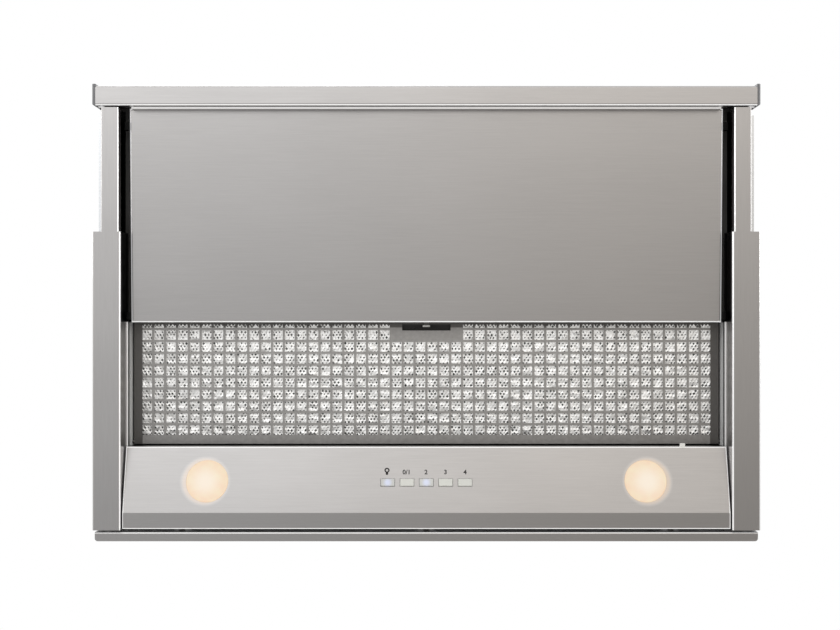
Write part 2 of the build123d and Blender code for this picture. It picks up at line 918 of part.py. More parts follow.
def end_cap():
    """The dark cap on the bar's end, its plug in the bar and its hook behind it."""
    cap = block(bar_half, half_width, y_front, bar_y1, cap_underside, bar_top + cap_play)
    outer = cap.faces().sort_by(Axis.X)[-1].edges()
    cap = fillet([outer.sort_by(Axis.Y)[-1], outer.sort_by(Axis.Z)[0]], cap_round)
    outer = cap.faces().sort_by(Axis.X)[-1].edges()
    cap = fillet([outer.sort_by(Axis.Y)[0], outer.sort_by(Axis.Z)[-1]], cap_edge)
    inset = sheet + cap_play
    plug = block(
        bar_half - cap_plug,
        bar_half,
        bar_y0 + inset,
        bar_y1 - inset,
        bar_underside + inset,
        bar_top - inset,
    )
    hook_x0 = rail_x1 + cap_play
    hook_x1 = half_width - inset
    hook_z = bar_underside + cap_hook_rise
    hook_plane = Plane.XY.offset(hook_z)
    hook_y = bar_y1 + cap_hook
    corners = [(hook_x1 - cap_hook_wall, bar_y1), (hook_x1, bar_y1), (hook_x0, hook_y)]
    corners.append((hook_x0, hook_y - cap_hook_wall))
    hook = extrude(hook_plane * make_face(Polyline(*corners, close=True)), amount=cap_hook_height)
    root = block(bar_half, hook_x1, bar_y1 - 2, bar_y1, hook_z, hook_z + cap_hook_height)
    return cap + plug + hook + root


right_cap = end_cap()
add("end_cap_right", right_cap)
add("end_cap_left", mirrored(right_cap))

# Reed switch over the magnet, on the front of the filter's front rail
reed_y1 = front_rail_y - sheet
reed = block(
    magnet_x - reed_width / 2,
    magnet_x + reed_width / 2,
    reed_y1 - reed_depth,
    reed_y1,
    plenum_z + reed_rise,
    plenum_z + reed_rise + reed_height,
)
add("reed_switch", reed)


# Filter: perforated frame with its pins, the mesh pack and the back frame
def filter_holes():
    """Square holes in rows from the rear edge, the front row cut short."""
    columns = int((2 * (filter_half - side_border) + hole_pitch - hole_size) / hole_pitch)
    last_y = filter_y1 - rear_border - hole_size / 2
    front = filter_y0 + filter_sheet + front_border
    holes = []
    row = 0
    while last_y - row * hole_pitch + hole_size / 2 > front + least_hole:
        y1 = last_y - row * hole_pitch + hole_size / 2
        y0 = max(y1 - hole_size, front)
        for column in range(columns):
            x = (column - (columns - 1) / 2) * hole_pitch
            spot = Pos(x, (y0 + y1) / 2)
            holes.append(spot * Rectangle(hole_size, y1 - y0))
        row += 1
    return holes


cup_y0 = filter_y0 + filter_sheet + latch_wall
cup_y1 = cup_y0 + latch_depth


def filter_frame():
    """The lower sheet with its walls folded up, drilled, notched and pinned."""
    length = filter_y1 - filter_y0
    middle = (filter_y0 + filter_y1) / 2
    opening_y0 = cup_y0 - latch_wall / 2
    sheet_face = Pos(0, middle) * Rectangle(2 * filter_half, length)
    recess = Pos(0, (opening_y0 + cup_y1) / 2) * Rectangle(2 * latch_half, cup_y1 - opening_y0)
    clear = latch_half + recess_border
    cuts = [recess]
    for hole in filter_holes():
        centre = hole.center()
        beside = abs(centre.X) > clear + hole_size / 2 or centre.Y > cup_y1 + hole_size / 2
        if beside:
            cuts.append(hole)
    grille = Plane.XY.offset(filter_z0) * (sheet_face - cuts)
    frame = extrude(grille, amount=filter_sheet)
    outer = block(-filter_half, filter_half, filter_y0, filter_y1, filter_z0, filter_z1)
    inner = block(
        -filter_half + filter_sheet,
        filter_half - filter_sheet,
        filter_y0 + filter_sheet,
        filter_y1 - filter_sheet,
        filter_z0 - 1,
        filter_z1 + 1,
    )
    frame += outer - inner
    slot_half = bolt_width / 2 + slack
    frame -= block(
        -slot_half,
        slot_half,
        filter_y0 - 1,
        filter_y0 + filter_sheet + 0.01,
        bolt_z - slack,
        bolt_z + bolt_height + slack,
    )
    for sign in (-1, 1):
        start = (sign * (filter_half - filter_sheet), pin_y, pin_z)
        end = (sign * (plenum_x + sheet + pin_proud), pin_y, pin_z)
        frame += rod(start, end, pin_radius)
    return frame


add("filter_frame", filter_frame())

inner_x = filter_half - filter_sheet - pack_play
inner_y0 = filter_y0 + filter_sheet + pack_play
inner_y1 = filter_y1 - filter_sheet - pack_play
mesh_z0 = filter_z0 + filter_sheet + mesh_gap
mesh = block(
    -inner_x, inner_x, inner_y0, inner_y1 - mesh_rear_margin, mesh_z0, mesh_z0 + mesh_height
)
cup_half = latch_half + latch_wall
mesh -= block(
    -cup_half - slack,
    cup_half + slack,
    inner_y0 - 1,
    cup_y1 + latch_wall + pack_play,
    filter_z0,
    filter_z1,
)
add("filter_mesh", mesh)

back_z1 = filter_z1
back_z0 = back_z1 - back_sheet
back = block(-inner_x, inner_x, inner_y0, inner_y1, back_z0, back_z1)
bay = (2 * (inner_x - back_band) - (back_bars - 1) * back_band) / back_bars
for i in range(back_bars):
    x0 = -inner_x + back_band + i * (bay + back_band)
    back -= block(x0, x0 + bay, inner_y0 + back_band, inner_y1 - back_band, back_z0 - 1, back_z1 + 1)
back_skirt_z = mesh_z0 + mesh_height
skirt = block(-inner_x, inner_x, inner_y0, inner_y1, back_skirt_z, back_z1)
skirt -= block(
    -inner_x + filter_sheet,
    inner_x - filter_sheet,
    inner_y0 + filter_sheet,
    inner_y1 - filter_sheet,
    back_skirt_z - 1,
    back_z1 + 1,
)
add("filter_back", back + skirt)

# Latch: the cup in the filter, the slider with its bolt, and the bowed spring
cup_low = filter_z0 + filter_sheet
cup_top = filter_z0 + latch_height
cup = block(-cup_half, cup_half, cup_y0 - latch_wall, cup_y1 + latch_wall, cup_low, cup_top)
cup -= block(-latch_half, latch_half, cup_y0, cup_y1, filter_z0, cup_top - latch_wall)
cup -= block(
    -bolt_width / 2 - slack,
    bolt_width / 2 + slack,
    cup_y0 - 2,
    cup_y0 + 0.01,
    bolt_z - slack,
    bolt_z + bolt_height + slack,
)
add("latch_cup", cup)

knob_y0 = cup_y0 + knob_play
knob_y1 = knob_y0 + knob_depth
knob_half = knob_width / 2
bolt_half = bolt_width / 2
bolt_top = bolt_z + bolt_height
knob = block(-knob_half, knob_half, knob_y0, knob_y1, filter_z0 + knob_recess, bolt_top)
knob = fillet(knob.edges().group_by(Axis.Z)[0], knob_round)
bolt = block(-bolt_half, bolt_half, bolt_y0, knob_y1, bolt_z, bolt_top)
add("latch_slider", knob + bolt)

bow_end = (latch_half - bow_inset, cup_y1 - bow_play)
bow_top = (0, knob_y1 + bow_play)
bow_start = (-bow_end[0], bow_end[1])
bow = ThreePointArc(bow_start, bow_top, bow_end)
bow_face = make_face(offset(bow, amount=bow_sheet, side=Side.RIGHT))
bow_plane = Plane.XY.offset(bolt_z)
add("latch_spring", extrude(bow_plane * bow_face, amount=bolt_height))


# Rear strip, with pressed bosses that seat on the deck's rear wall
def rear_strip():
    """An open folded strip with rounded corners at the wall."""
    half = half_width - strip_inset
    y0 = profile_y1 + strip_gap
    body = block(-half, half, y0, y_wall, strip_underside, strip_top)
    corners = body.edges().filter_by(Axis.Z).group_by(Axis.Y)[-1]
    body = fillet(corners, strip_corner)
    front_fold = body.edges().filter_by(Axis.X).group_by(Axis.Z)[0].sort_by(Axis.Y)[0]
    body = fillet(front_fold, small_bend)
    shell = offset(body, amount=-sheet, openings=body.faces().sort_by(Axis.Z)[-1])
    boss_x = half - strip_boss_inset
    z = strip_underside + strip_boss_rise
    for x in (-boss_x, 0, boss_x):
        shell += rod((x, profile_y1, z), (x, y0 + sheet / 2, z), strip_boss_radius)
    return shell


add("rear_strip", rear_strip())

# Upper housing: shell with a base flange, and its lid
terminal_y1 = shell_y1 - terminal_wall_gap
gland_spot = (-terminal_x, terminal_y1 - terminal_depth / 2)
lid_screws = []
for x in (-scroll_half - scroll_flange / 2, scroll_half + scroll_flange / 2):
    lid_screws += [(x, outlet_y0 + lid_screw_inset), (x, outlet_y1 - lid_screw_inset)]
bracket_y = shell_y1 - bracket_place
bracket_screw_ys = [bracket_y - fixing_pitch / 2, bracket_y + fixing_pitch / 2]
bracket_screw_z = bracket_z + bracket_height / 2


def housing_shell():
    """The four walls of the upper housing on a flange turned inwards."""
    walls = block(-shell_half, shell_half, shell_y0, shell_y1, base_height, scroll_top)
    walls -= block(
        -shell_half + sheet,
        shell_half - sheet,
        shell_y0 + sheet,
        shell_y1 - sheet,
        base_height + sheet,
        scroll_top + 1,
    )
    walls -= block(
        -shell_half + shell_flange,
        shell_half - shell_flange,
        shell_y0 + shell_flange,
        shell_y1 - shell_flange,
        base_height - 1,
        base_height + 2,
    )
    for x, y in shell_screws:
        walls -= rod((x, y, base_height - 1), (x, y, base_height + 2), screw_radius)
    for y in bracket_screw_ys:
        for sign in (-1, 1):
            start = (sign * (shell_half - 2), y, bracket_screw_z)
            end = (sign * (shell_half + 1), y, bracket_screw_z)
            walls -= rod(start, end, screw_radius)
    return walls


add("housing_shell", housing_shell())

lid = block(-shell_half, shell_half, shell_y0, shell_y1, scroll_top, shell_top)
spigot_bore = spigot_radius - spigot_wall
lid -= rod((0, spigot_y, scroll_top - 1), (0, spigot_y, shell_top + 1), spigot_bore)
lid -= rod((*gland_spot, scroll_top - 1), (*gland_spot, shell_top + 1), gland_thread)
for x, y in lid_screws:
    lid -= rod((x, y, scroll_top - 1), (x, y, shell_top + 1), screw_radius)
add("housing_top", lid)

# Duct spigot with the ledge that the flaps rest on
spigot_top = shell_top + spigot_height
spigot = rod((0, spigot_y, shell_top), (0, spigot_y, spigot_top), spigot_radius)
spigot_foot = (0, spigot_y, shell_top + spigot_flange_sheet)
spigot += rod((0, spigot_y, shell_top), spigot_foot, spigot_radius + spigot_flange)
spigot -= rod((0, spigot_y, shell_top - 1), (0, spigot_y, spigot_top + 1), spigot_bore)
ledge_z1 = flap_z - flap_thickness / 2 - slack
ledge = rod((0, spigot_y, ledge_z1 - ledge_thickness), (0, spigot_y, ledge_z1), spigot_bore + 0.5)
ledge -= rod((0, spigot_y, shell_top), (0, spigot_y, ledge_z1 + 1), spigot_bore - ledge_width)
spigot += ledge
bore_end = spigot_radius + 1
bore_radius = flap_pin_radius + flap_pin_play
spigot -= rod((-bore_end, spigot_y, flap_z), (bore_end, spigot_y, flap_z), bore_radius)
add("duct_spigot", spigot)
pin_end = spigot_radius - flap_pin_setback
pin = rod((-pin_end, spigot_y, flap_z), (pin_end, spigot_y, flap_z), flap_pin_radius)
add("flap_pin", pin)


def flap(side):
    """A half disc hinged on the pin, towards the cook for -1 and the wall for 1."""
    radius = spigot_bore - flap_gap
    disc = Pos(0, spigot_y, flap_z) * Cylinder(radius, flap_thickness)
    near = spigot_y + side * flap_setback
    far = spigot_y + side * (radius + 1)
    half_disc = disc & block(-radius, radius, min(near, far), max(near, far), flap_z - 1, flap_z + 1)
    span = 2 * (spigot_bore - ledge_width - flap_end_gap)
    width = (span - (knuckle_count - 1) * knuckle_gap) / knuckle_count
    first = 0 if side < 0 else 1
    for i in range(first, knuckle_count, 2):
        x0 = -span / 2 + i * (width + knuckle_gap)
        tube = rod((x0, spigot_y, flap_z), (x0 + width, spigot_y, flap_z), knuckle_radius)
        reach = spigot_y + side * (flap_setback + flap_lap)
        low, high = sorted((spigot_y, reach))
        half_flap = flap_thickness / 2
        tab = block(x0, x0 + width, low, high, flap_z - half_flap, flap_z + half_flap)
        bore_start = (x0 - 1, spigot_y, flap_z)
        bore_end = (x0 + width + 1, spigot_y, flap_z)
        half_disc += tube + tab
        half_disc -= rod(bore_start, bore_end, flap_pin_radius + knuckle_play)
    return half_disc


add("flap_front", flap(-1))
add("flap_rear", flap(1))


# Fan casing: two mouldings that meet in the middle
def scroll_outline(grow):
    """The spiral and the outlet above it, grown outwards by a wall."""
    start = scroll_start + grow
    end = scroll_end + grow
    front = -outlet_front - grow
    tongue = math.acos(front / start)
    steps = 8
    points = []
    for i in range(steps + 1):
        angle = tongue + (2 * math.pi - tongue) * i / steps
        radius = start + (end - start) * i / steps
        points.append((radius * math.cos(angle), radius * math.sin(angle)))
    top = scroll_top - fan_z
    duct = Polyline(points[-1], (end, top), (front, top), points[0])
    return make_face([Spline(*points), duct])


def scroll_half_casing():
    """The right half: side plate with the inlet, half the spiral wall and a flange."""
    plane = Plane(origin=(0, fan_y, fan_z), x_dir=(0, 1, 0), z_dir=(1, 0, 0))
    body = extrude(plane * scroll_outline(scroll_wall), amount=scroll_half)
    inner = extrude(plane * scroll_outline(0), amount=scroll_half - scroll_wall)
    flange_z = scroll_top - scroll_wall
    flange = block(
        0,
        scroll_half + scroll_flange,
        outlet_y0 - scroll_wall - scroll_flange / 2,
        outlet_y1 + scroll_wall + scroll_flange / 2,
        flange_z,
        scroll_top,
    )
    lip_start = (scroll_half - scroll_wall - inlet_lip, fan_y, fan_z)
    lip_end = (scroll_half - scroll_wall / 2, fan_y, fan_z)
    casing = body + flange - inner + rod(lip_start, lip_end, inlet_radius + scroll_wall)
    casing -= rod((1, fan_y, fan_z), (scroll_half + 1, fan_y, fan_z), inlet_radius)
    for x, y in lid_screws:
        if x > 0:
            casing -= rod((x, y, flange_z - 1), (x, y, scroll_top + 1), screw_radius)
    return casing


right_scroll = scroll_half_casing()
add("scroll_half_right", right_scroll)
add("scroll_half_left", mirrored(right_scroll))


def impeller():
    """Blades between two rings, in the slots of a middle disc with its hub."""
    middle = Pos(0, fan_y, fan_z) * Rot(0, 90, 0)
    blade_radius = impeller_radius - blade_depth / 2
    blade_span = 2 * (impeller_half - impeller_ring)
    blade = Box(blade_sheet, blade_depth, blade_span)
    blade = Pos(0, blade_radius, 0) * Rot(0, 0, blade_tilt) * blade
    blades = [Rot(0, 0, i * 360 / blade_count) * blade for i in range(blade_count)]
    ring = Cylinder(impeller_radius, impeller_ring)
    ring -= Cylinder(impeller_radius - blade_depth, impeller_ring)
    ring_place = impeller_half - impeller_ring / 2
    rings = [Pos(0, 0, sign * ring_place) * ring for sign in (-1, 1)]
    disc = Cylinder(impeller_radius, disc_thickness)
    hub_middle = (hub_length - disc_thickness) / 2
    disc += Pos(0, 0, hub_middle) * Cylinder(hub_radius, hub_length)
    disc -= Cylinder(shaft_radius, 4 * hub_length)
    disc -= blades
    return [middle * piece for piece in [disc, *rings, *blades]]


add("impeller", *impeller())

# Motor in the left half of the impeller: can with its core, rotor on its shaft
motor_x1 = -motor_front
motor_x0 = motor_x1 - motor_length
boss_x0 = -scroll_half - 1
axis_at = (fan_y, fan_z)
can = rod((motor_x0, *axis_at), (motor_x1, *axis_at), motor_radius)
can += rod((boss_x0, *axis_at), (motor_x0 + 1, *axis_at), motor_boss_radius)
can -= rod(
    (motor_x0 + motor_wall, *axis_at), (motor_x1 - motor_wall, *axis_at), motor_radius - motor_wall
)
shaft_x0 = boss_x0 + shaft_end
can -= rod((shaft_x0 - 1, *axis_at), (motor_x1 + 1, *axis_at), shaft_radius + shaft_play)
core_x0 = motor_x0 + stator_end_gap
core_x1 = motor_x1 - stator_end_gap
core = rod((core_x0, *axis_at), (core_x1, *axis_at), motor_radius - motor_wall)
core -= rod((core_x0 - 1, *axis_at), (core_x1 + 1, *axis_at), rotor_radius + stator_play)
add("motor_housing", can, core)

shaft_x1 = hub_length + shaft_end
shaft = rod((shaft_x0, *axis_at), (shaft_x1, *axis_at), shaft_radius)
rotor_x0 = core_x0 + rotor_end_gap
rotor_x1 = core_x1 - rotor_end_gap
rotor = rod((rotor_x0, *axis_at), (rotor_x1, *axis_at), rotor_radius)
rotor -= rod((core_x0, *axis_at), (core_x1, *axis_at), shaft_radius)
add("motor_shaft", shaft)
add("motor_rotor", rotor)

# Motor bracket: three arms from the motor to the side plate of the casing
arm_x0 = boss_x0 - bracket_arm_sheet
arms = rod((arm_x0, *axis_at), (boss_x0, *axis_at), motor_boss_radius + arm_hub_margin)
arm_reach = inlet_radius + arm_foot_gap + arm_foot
for i in range(3):
    turn = 90 + i * 120
    arm = Pos(0, arm_reach / 2, 0) * Box(bracket_arm_sheet, arm_reach, bracket_arm_width)
    foot = Box(bracket_arm_sheet + arm_foot_lift, arm_foot, bracket_arm_width)
    foot = Pos(arm_foot_lift / 2, arm_reach - arm_foot / 2, 0) * foot
    arms += Pos(arm_x0 + bracket_arm_sheet / 2, *axis_at) * Rot(turn, 0, 0) * (arm + foot)
add("motor_bracket", arms)

# Capacitor, standing on the deck
capacitor_y = shell_y1 - capacitor_wall_gap - capacitor_radius
capacitor_top = base_height + capacitor_height
jar_top = (capacitor_x, capacitor_y, capacitor_top)
jar = rod((capacitor_x, capacitor_y, base_height), jar_top, capacitor_radius)
jar = fillet(jar.edges().sort_by(Axis.Z)[-1], capacitor_round)
stud = rod(jar_top, (capacitor_x, capacitor_y, capacitor_top + stud_height), stud_radius)
add("capacitor", jar + stud)

# Terminal box under the lid, its lid below and the gland above
terminal_x0 = -terminal_x - terminal_width / 2
terminal_x1 = terminal_x0 + terminal_width
terminal_y0 = terminal_y1 - terminal_depth
terminal_z0 = scroll_top - terminal_height
terminal = block(terminal_x0, terminal_x1, terminal_y0, terminal_y1, terminal_z0, scroll_top)
terminal -= block(
    terminal_x0 + terminal_wall,
    terminal_x1 - terminal_wall,
    terminal_y0 + terminal_wall,
    terminal_y1 - terminal_wall,
    terminal_z0 - 1,
    scroll_top - terminal_wall,
)
terminal -= rod((*gland_spot, terminal_z0), (*gland_spot, scroll_top + 1), gland_thread)
add("terminal_box", terminal)
terminal_lid = block(
    terminal_x0,
    terminal_x1,
    terminal_y0,
    terminal_y1,
    terminal_z0 - terminal_lid_thickness,
    terminal_z0,
)
add("terminal_lid", terminal_lid)

gland_face = Plane(origin=(*gland_spot, shell_top))
hexagon = extrude(gland_face * RegularPolygon(gland_hex, 6), amount=gland_hex_height)
gland = hexagon + rod((*gland_spot, shell_top - gland_tail), (*gland_spot, shell_top), gland_thread)
dome = rod((*gland_spot, shell_top), (*gland_spot, shell_top + gland_height), gland_dome)
gland += fillet(dome.edges().sort_by(Axis.Z)[-1], gland_round)
gland_low = (*gland_spot, shell_top - gland_tail - 1)
gland_top = (*gland_spot, shell_top + gland_height + 1)
gland -= rod(gland_low, gland_top, gland_bore)
add("cable_gland", gland)


def tube(points, radius, bends):
    """A wire run of straight lengths joined by arcs."""
    path = FilletPolyline(*points, radius=bends)
    section = Plane(origin=points[0], z_dir=path % 0) * Circle(radius)
    return sweep(section, path=path)


# Wiring: the lead to the control box and the lead to the motor
loom_corner = (-terminal_x, loom_start.Y, loom_start.Z)
loom_end = (-terminal_x, loom_start.Y, terminal_z0 - terminal_lid_thickness)
loom = tube([tuple(loom_start), loom_corner, loom_end], loom_radius, loom_bend)
lead_x = arm_x0 - 12
lead_points = [
    (arm_x0, fan_y, fan_z - 14),
    (lead_x, fan_y, fan_z - 14),
    (lead_x, fan_y + 22, scroll_top - 70),
    (lead_x, terminal_y0 + 15, scroll_top - 25),
    (terminal_x1, terminal_y0 + 15, scroll_top - 25),
]
add("wiring_loom", loom, tube(lead_points, motor_lead_radius, 5.2))


# Brackets that hold the hood between the cabinet's sides
def mounting_bracket():
    """A folded bracket from the housing to the cabinet side, with two screw holes."""
    y0 = bracket_y - bracket_length / 2
    y1 = bracket_y + bracket_length / 2
    z1 = bracket_z + bracket_height
    outline = [
        (shell_half, z1),
        (shell_half, bracket_z),
        (bracket_face, bracket_z),
        (bracket_face, z1),
    ]
    piece = folded(outline, y0, y1, "Y", wall=bracket_sheet, radius=bracket_bend, inside=1)
    hole_z = bracket_z + fixing_rise
    for y in bracket_screw_ys:
        start = (bracket_face - bracket_sheet - 1, y, hole_z)
        piece -= rod(start, (bracket_face + 1, y, hole_z), fixing_hole_radius)
    for y in bracket_screw_ys:
        start = (shell_half - 1, y, bracket_screw_z)
        end = (shell_half + bracket_sheet + 1, y, bracket_screw_z)
        piece -= rod(start, end, screw_radius)
    return piece


right_bracket = mounting_bracket()
add("mounting_brackets", right_bracket, mirrored(right_bracket))


def screw(spot, way):
    """A pan-head screw whose head seats at a spot and whose shank runs one way."""
    spot = Vector(*spot)
    way = Vector(*way)
    shank_end = spot + way * screw_length
    head_end = spot - way * screw_head
    return rod(tuple(spot), tuple(shank_end), screw_radius) + rod(
        tuple(spot), tuple(head_end), screw_head_radius
    )


screws = [screw((x, y, base_height + sheet), (0, 0, -1)) for x, y in shell_screws]
screws += [screw((x, y, shell_top), (0, 0, -1)) for x, y in lid_screws]
for y in bracket_screw_ys:
    for sign in (-1, 1):
        seat = (sign * (shell_half + bracket_sheet), y, bracket_screw_z)
        screws.append(screw(seat, (-sign, 0, 0)))
add("body_screws", *screws)

os.makedirs("parts", exist_ok=True)
for name, solids in parts.items():
    loose = [solid for piece in solids for solid in piece.solids()]
    node = loose[0] if len(loose) == 1 else Compound(children=loose)
    node.label = name
    export_step(node, f"parts/{name}.step")
    print(f"{name}: {len(loose)} solids, {sum(s.volume for s in loose):.0f} mm3")
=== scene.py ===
"""A telescopic range hood of brushed stainless steel, seen square from below.

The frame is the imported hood, in metres: X to the right, Y to the wall, Z up.
The underside lies at Z 0, and the camera stands below it and looks up.
"""

import json
import math

import bpy
import numpy as np
from mathutils import Matrix, Vector


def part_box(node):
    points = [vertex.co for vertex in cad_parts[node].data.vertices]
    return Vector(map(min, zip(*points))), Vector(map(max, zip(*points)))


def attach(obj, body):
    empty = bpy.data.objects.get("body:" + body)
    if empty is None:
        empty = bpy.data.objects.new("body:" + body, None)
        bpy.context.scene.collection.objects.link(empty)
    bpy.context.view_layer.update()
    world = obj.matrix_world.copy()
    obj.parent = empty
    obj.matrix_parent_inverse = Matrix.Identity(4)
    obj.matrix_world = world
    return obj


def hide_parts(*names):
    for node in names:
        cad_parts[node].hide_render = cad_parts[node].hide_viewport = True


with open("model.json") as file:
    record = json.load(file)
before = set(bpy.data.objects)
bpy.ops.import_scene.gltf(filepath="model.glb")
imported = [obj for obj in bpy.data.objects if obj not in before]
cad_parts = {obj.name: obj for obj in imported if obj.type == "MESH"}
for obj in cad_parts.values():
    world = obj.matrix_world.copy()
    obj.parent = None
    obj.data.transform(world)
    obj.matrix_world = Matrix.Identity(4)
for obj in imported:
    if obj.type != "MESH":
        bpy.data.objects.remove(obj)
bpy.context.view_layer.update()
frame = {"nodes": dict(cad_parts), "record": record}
nodes = frame["nodes"]
scene = bpy.context.scene
scene.view_settings.view_transform = "Standard"

MM = 0.001
rng = np.random.default_rng(7)

# Picture: 840 pixels across, 0.8932 mm a pixel in the plane of the underside.
PICTURE_WIDTH = 840
PIXEL = 0.8932 * MM
CAMERA_DROP = 1.130  # below the underside
CAMERA_Y = 2.05 * MM
SYMMETRY_PIXEL = 426.35  # column of the hood's middle
SENSOR = 36.0

camera_data = bpy.data.cameras.new("camera")
camera_data.sensor_width = SENSOR
camera_data.lens = SENSOR * CAMERA_DROP / (PICTURE_WIDTH * PIXEL)
camera_data.shift_x = (PICTURE_WIDTH / 2 - SYMMETRY_PIXEL) / PICTURE_WIDTH
camera_data.clip_end = 50
camera = bpy.data.objects.new("camera", camera_data)
camera.location = (0, CAMERA_Y, -CAMERA_DROP)
camera.rotation_euler = (math.pi, 0, 0)
scene.collection.objects.link(camera)
scene.camera = camera


# Materials

WHITE = "#FFFFFF"
STEEL = ("#B8B6B5", "#BEBCBB")
BAR_STEEL = ("#BBB9B8", "#C1BFBE")
# The near-white of folds is a painted highlight.
FOLD_PAINTED_HIGHLIGHT = "#E6E5E4"
STEEL_IN_SHADE = "#161616"
FRAME_IN_SHADE = "#72706E"
STREAKS = (1.1, 1.9)  # the range of the brushed streaks' sum
NOISE = (0.3, 0.7)  # the range that a noise mostly keeps to
# A face's lean, as the upright part of its normal: none of the painted fold highlight, then all
# of it
OFF_UPRIGHT = (0.03, 0.12)
OFF_LEVEL = (0.958, 0.89)
FACES_DOWN = (0.1, -0.5)
FACES_STRAIGHT_DOWN = (-0.3, -0.9)
FACES_OUTWARD = (-0.005, 0.005)  # m, the normal's reach away from the hood's middle
FINE_STREAK = (0.5, 15)  # mm wide and long
COARSE_STREAK = (1.0, 40)
STEEL_CLOUDS = (120, 60, 60)  # mm
STEEL_ROUGHNESS = (0.32, 0.28)
# A fold's painted highlight also glows: painted light where it faces down.
FOLD_PAINTED_GLOW = 0.30  # light that a fold adds where it faces down
BOX_EDGE = 0.4  # mm, over which a box of shade or light fades
LENS_RADIUS = 18.7  # mm
# The halo round each lamp is painted light, a warm glow on the steel.
HALO_WIDTH = 5  # mm
HALO_COLOUR = "#FFD3A0"
HALO_STRENGTH = 0.21
ZINC_CRYSTAL = 9  # mm


def linear(colour):
    """An sRGB hex colour as linear light, by the sRGB curve."""
    parts = [int(colour[i : i + 2], 16) / 255 for i in (1, 3, 5)]
    return [c / 12.92 if c <= 0.04045 else ((c + 0.055) / 1.055) ** 2.4 for c in parts] + [1.0]


def add_node(tree, kind, inputs=None, out=0, **settings):
    """Adds a node and gives one of its outputs.

    A socket among its inputs is linked, and any other value is set on the input.
    """
    made = tree.nodes.new("ShaderNode" + kind)
    for name, value in settings.items():
        setattr(made, name, value)
    for name, value in (inputs or {}).items():
        if isinstance(value, bpy.types.NodeSocket):
            tree.links.new(value, made.inputs[name])
        else:
            made.inputs[name].default_value = value
    return made.outputs[out] if len(made.outputs) else made


def start(name):
    """An empty material with its node tree and the object's own coordinates."""
    material = bpy.data.materials.new(name)
    material.use_nodes = True
    tree = material.node_tree
    tree.nodes.clear()
    return material, tree, add_node(tree, "TexCoord", out="Object")


def finish_with(material, tree, surface):
    """Joins a shader to the material's output, with its values and links."""
    shader = add_node(tree, "BsdfPrincipled", surface)
    add_node(tree, "OutputMaterial", {"Surface": shader})
    return material


def grain(tree, place, size_mm, detail=2.0):
    """Noise whose grains have these sizes in millimetres along X, Y and Z."""
    scale = [1 / (s * MM) for s in size_mm]
    spread = add_node(tree, "Mapping", {"Vector": place, "Scale": scale})
    return add_node(tree, "TexNoise", {"Vector": spread, "Scale": 1.0, "Detail": detail})


def between(tree, value, dark, light, limits=NOISE):
    """A colour that goes from dark to light as a value goes from one limit to the other."""
    share = add_node(tree, "MapRange", {0: value, 1: limits[0], 2: limits[1]})
    colours = {0: share, 6: linear(dark), 7: linear(light)}
    return add_node(tree, "Mix", colours, out=2, data_type="RGBA")


def near(tree, place, centre, full_mm, none_mm):
    """1 within one distance of a point, falling smoothly to 0 at another."""
    away = add_node(tree, "VectorMath", {0: place, 1: centre}, out=1, operation="DISTANCE")
    fall = {0: away, 1: full_mm * MM, 2: none_mm * MM, 3: 1.0, 4: 0.0}
    return add_node(tree, "MapRange", fall, interpolation_type="SMOOTHSTEP")


def near_either(tree, place, centres, full_mm, none_mm):
    """1 near either of two points, falling smoothly to 0 away from both."""
    first, second = (near(tree, place, centre, full_mm, none_mm) for centre in centres)
    return add_node(tree, "Math", {0: first, 1: second}, operation="MAXIMUM")


def within(tree, place, corner_mm, other_mm):
    """1 inside a box that lies the same on the left and the right, and 0 outside it."""
    mirrored = add_node(tree, "VectorMath", {0: place}, operation="ABSOLUTE")
    inside = 1.0
    for axis, low, high in zip("XYZ", corner_mm, other_mm):
        source = mirrored if axis == "X" else place
        along = add_node(tree, "SeparateXYZ", {0: source}, out=axis)
        for edge, full in ((low, low + BOX_EDGE), (high, high - BOX_EDGE)):
            side = add_node(tree, "MapRange", {0: along, 1: edge * MM, 2: full * MM})
            inside = add_node(tree, "Math", {0: inside, 1: side}, operation="MULTIPLY")
    return inside


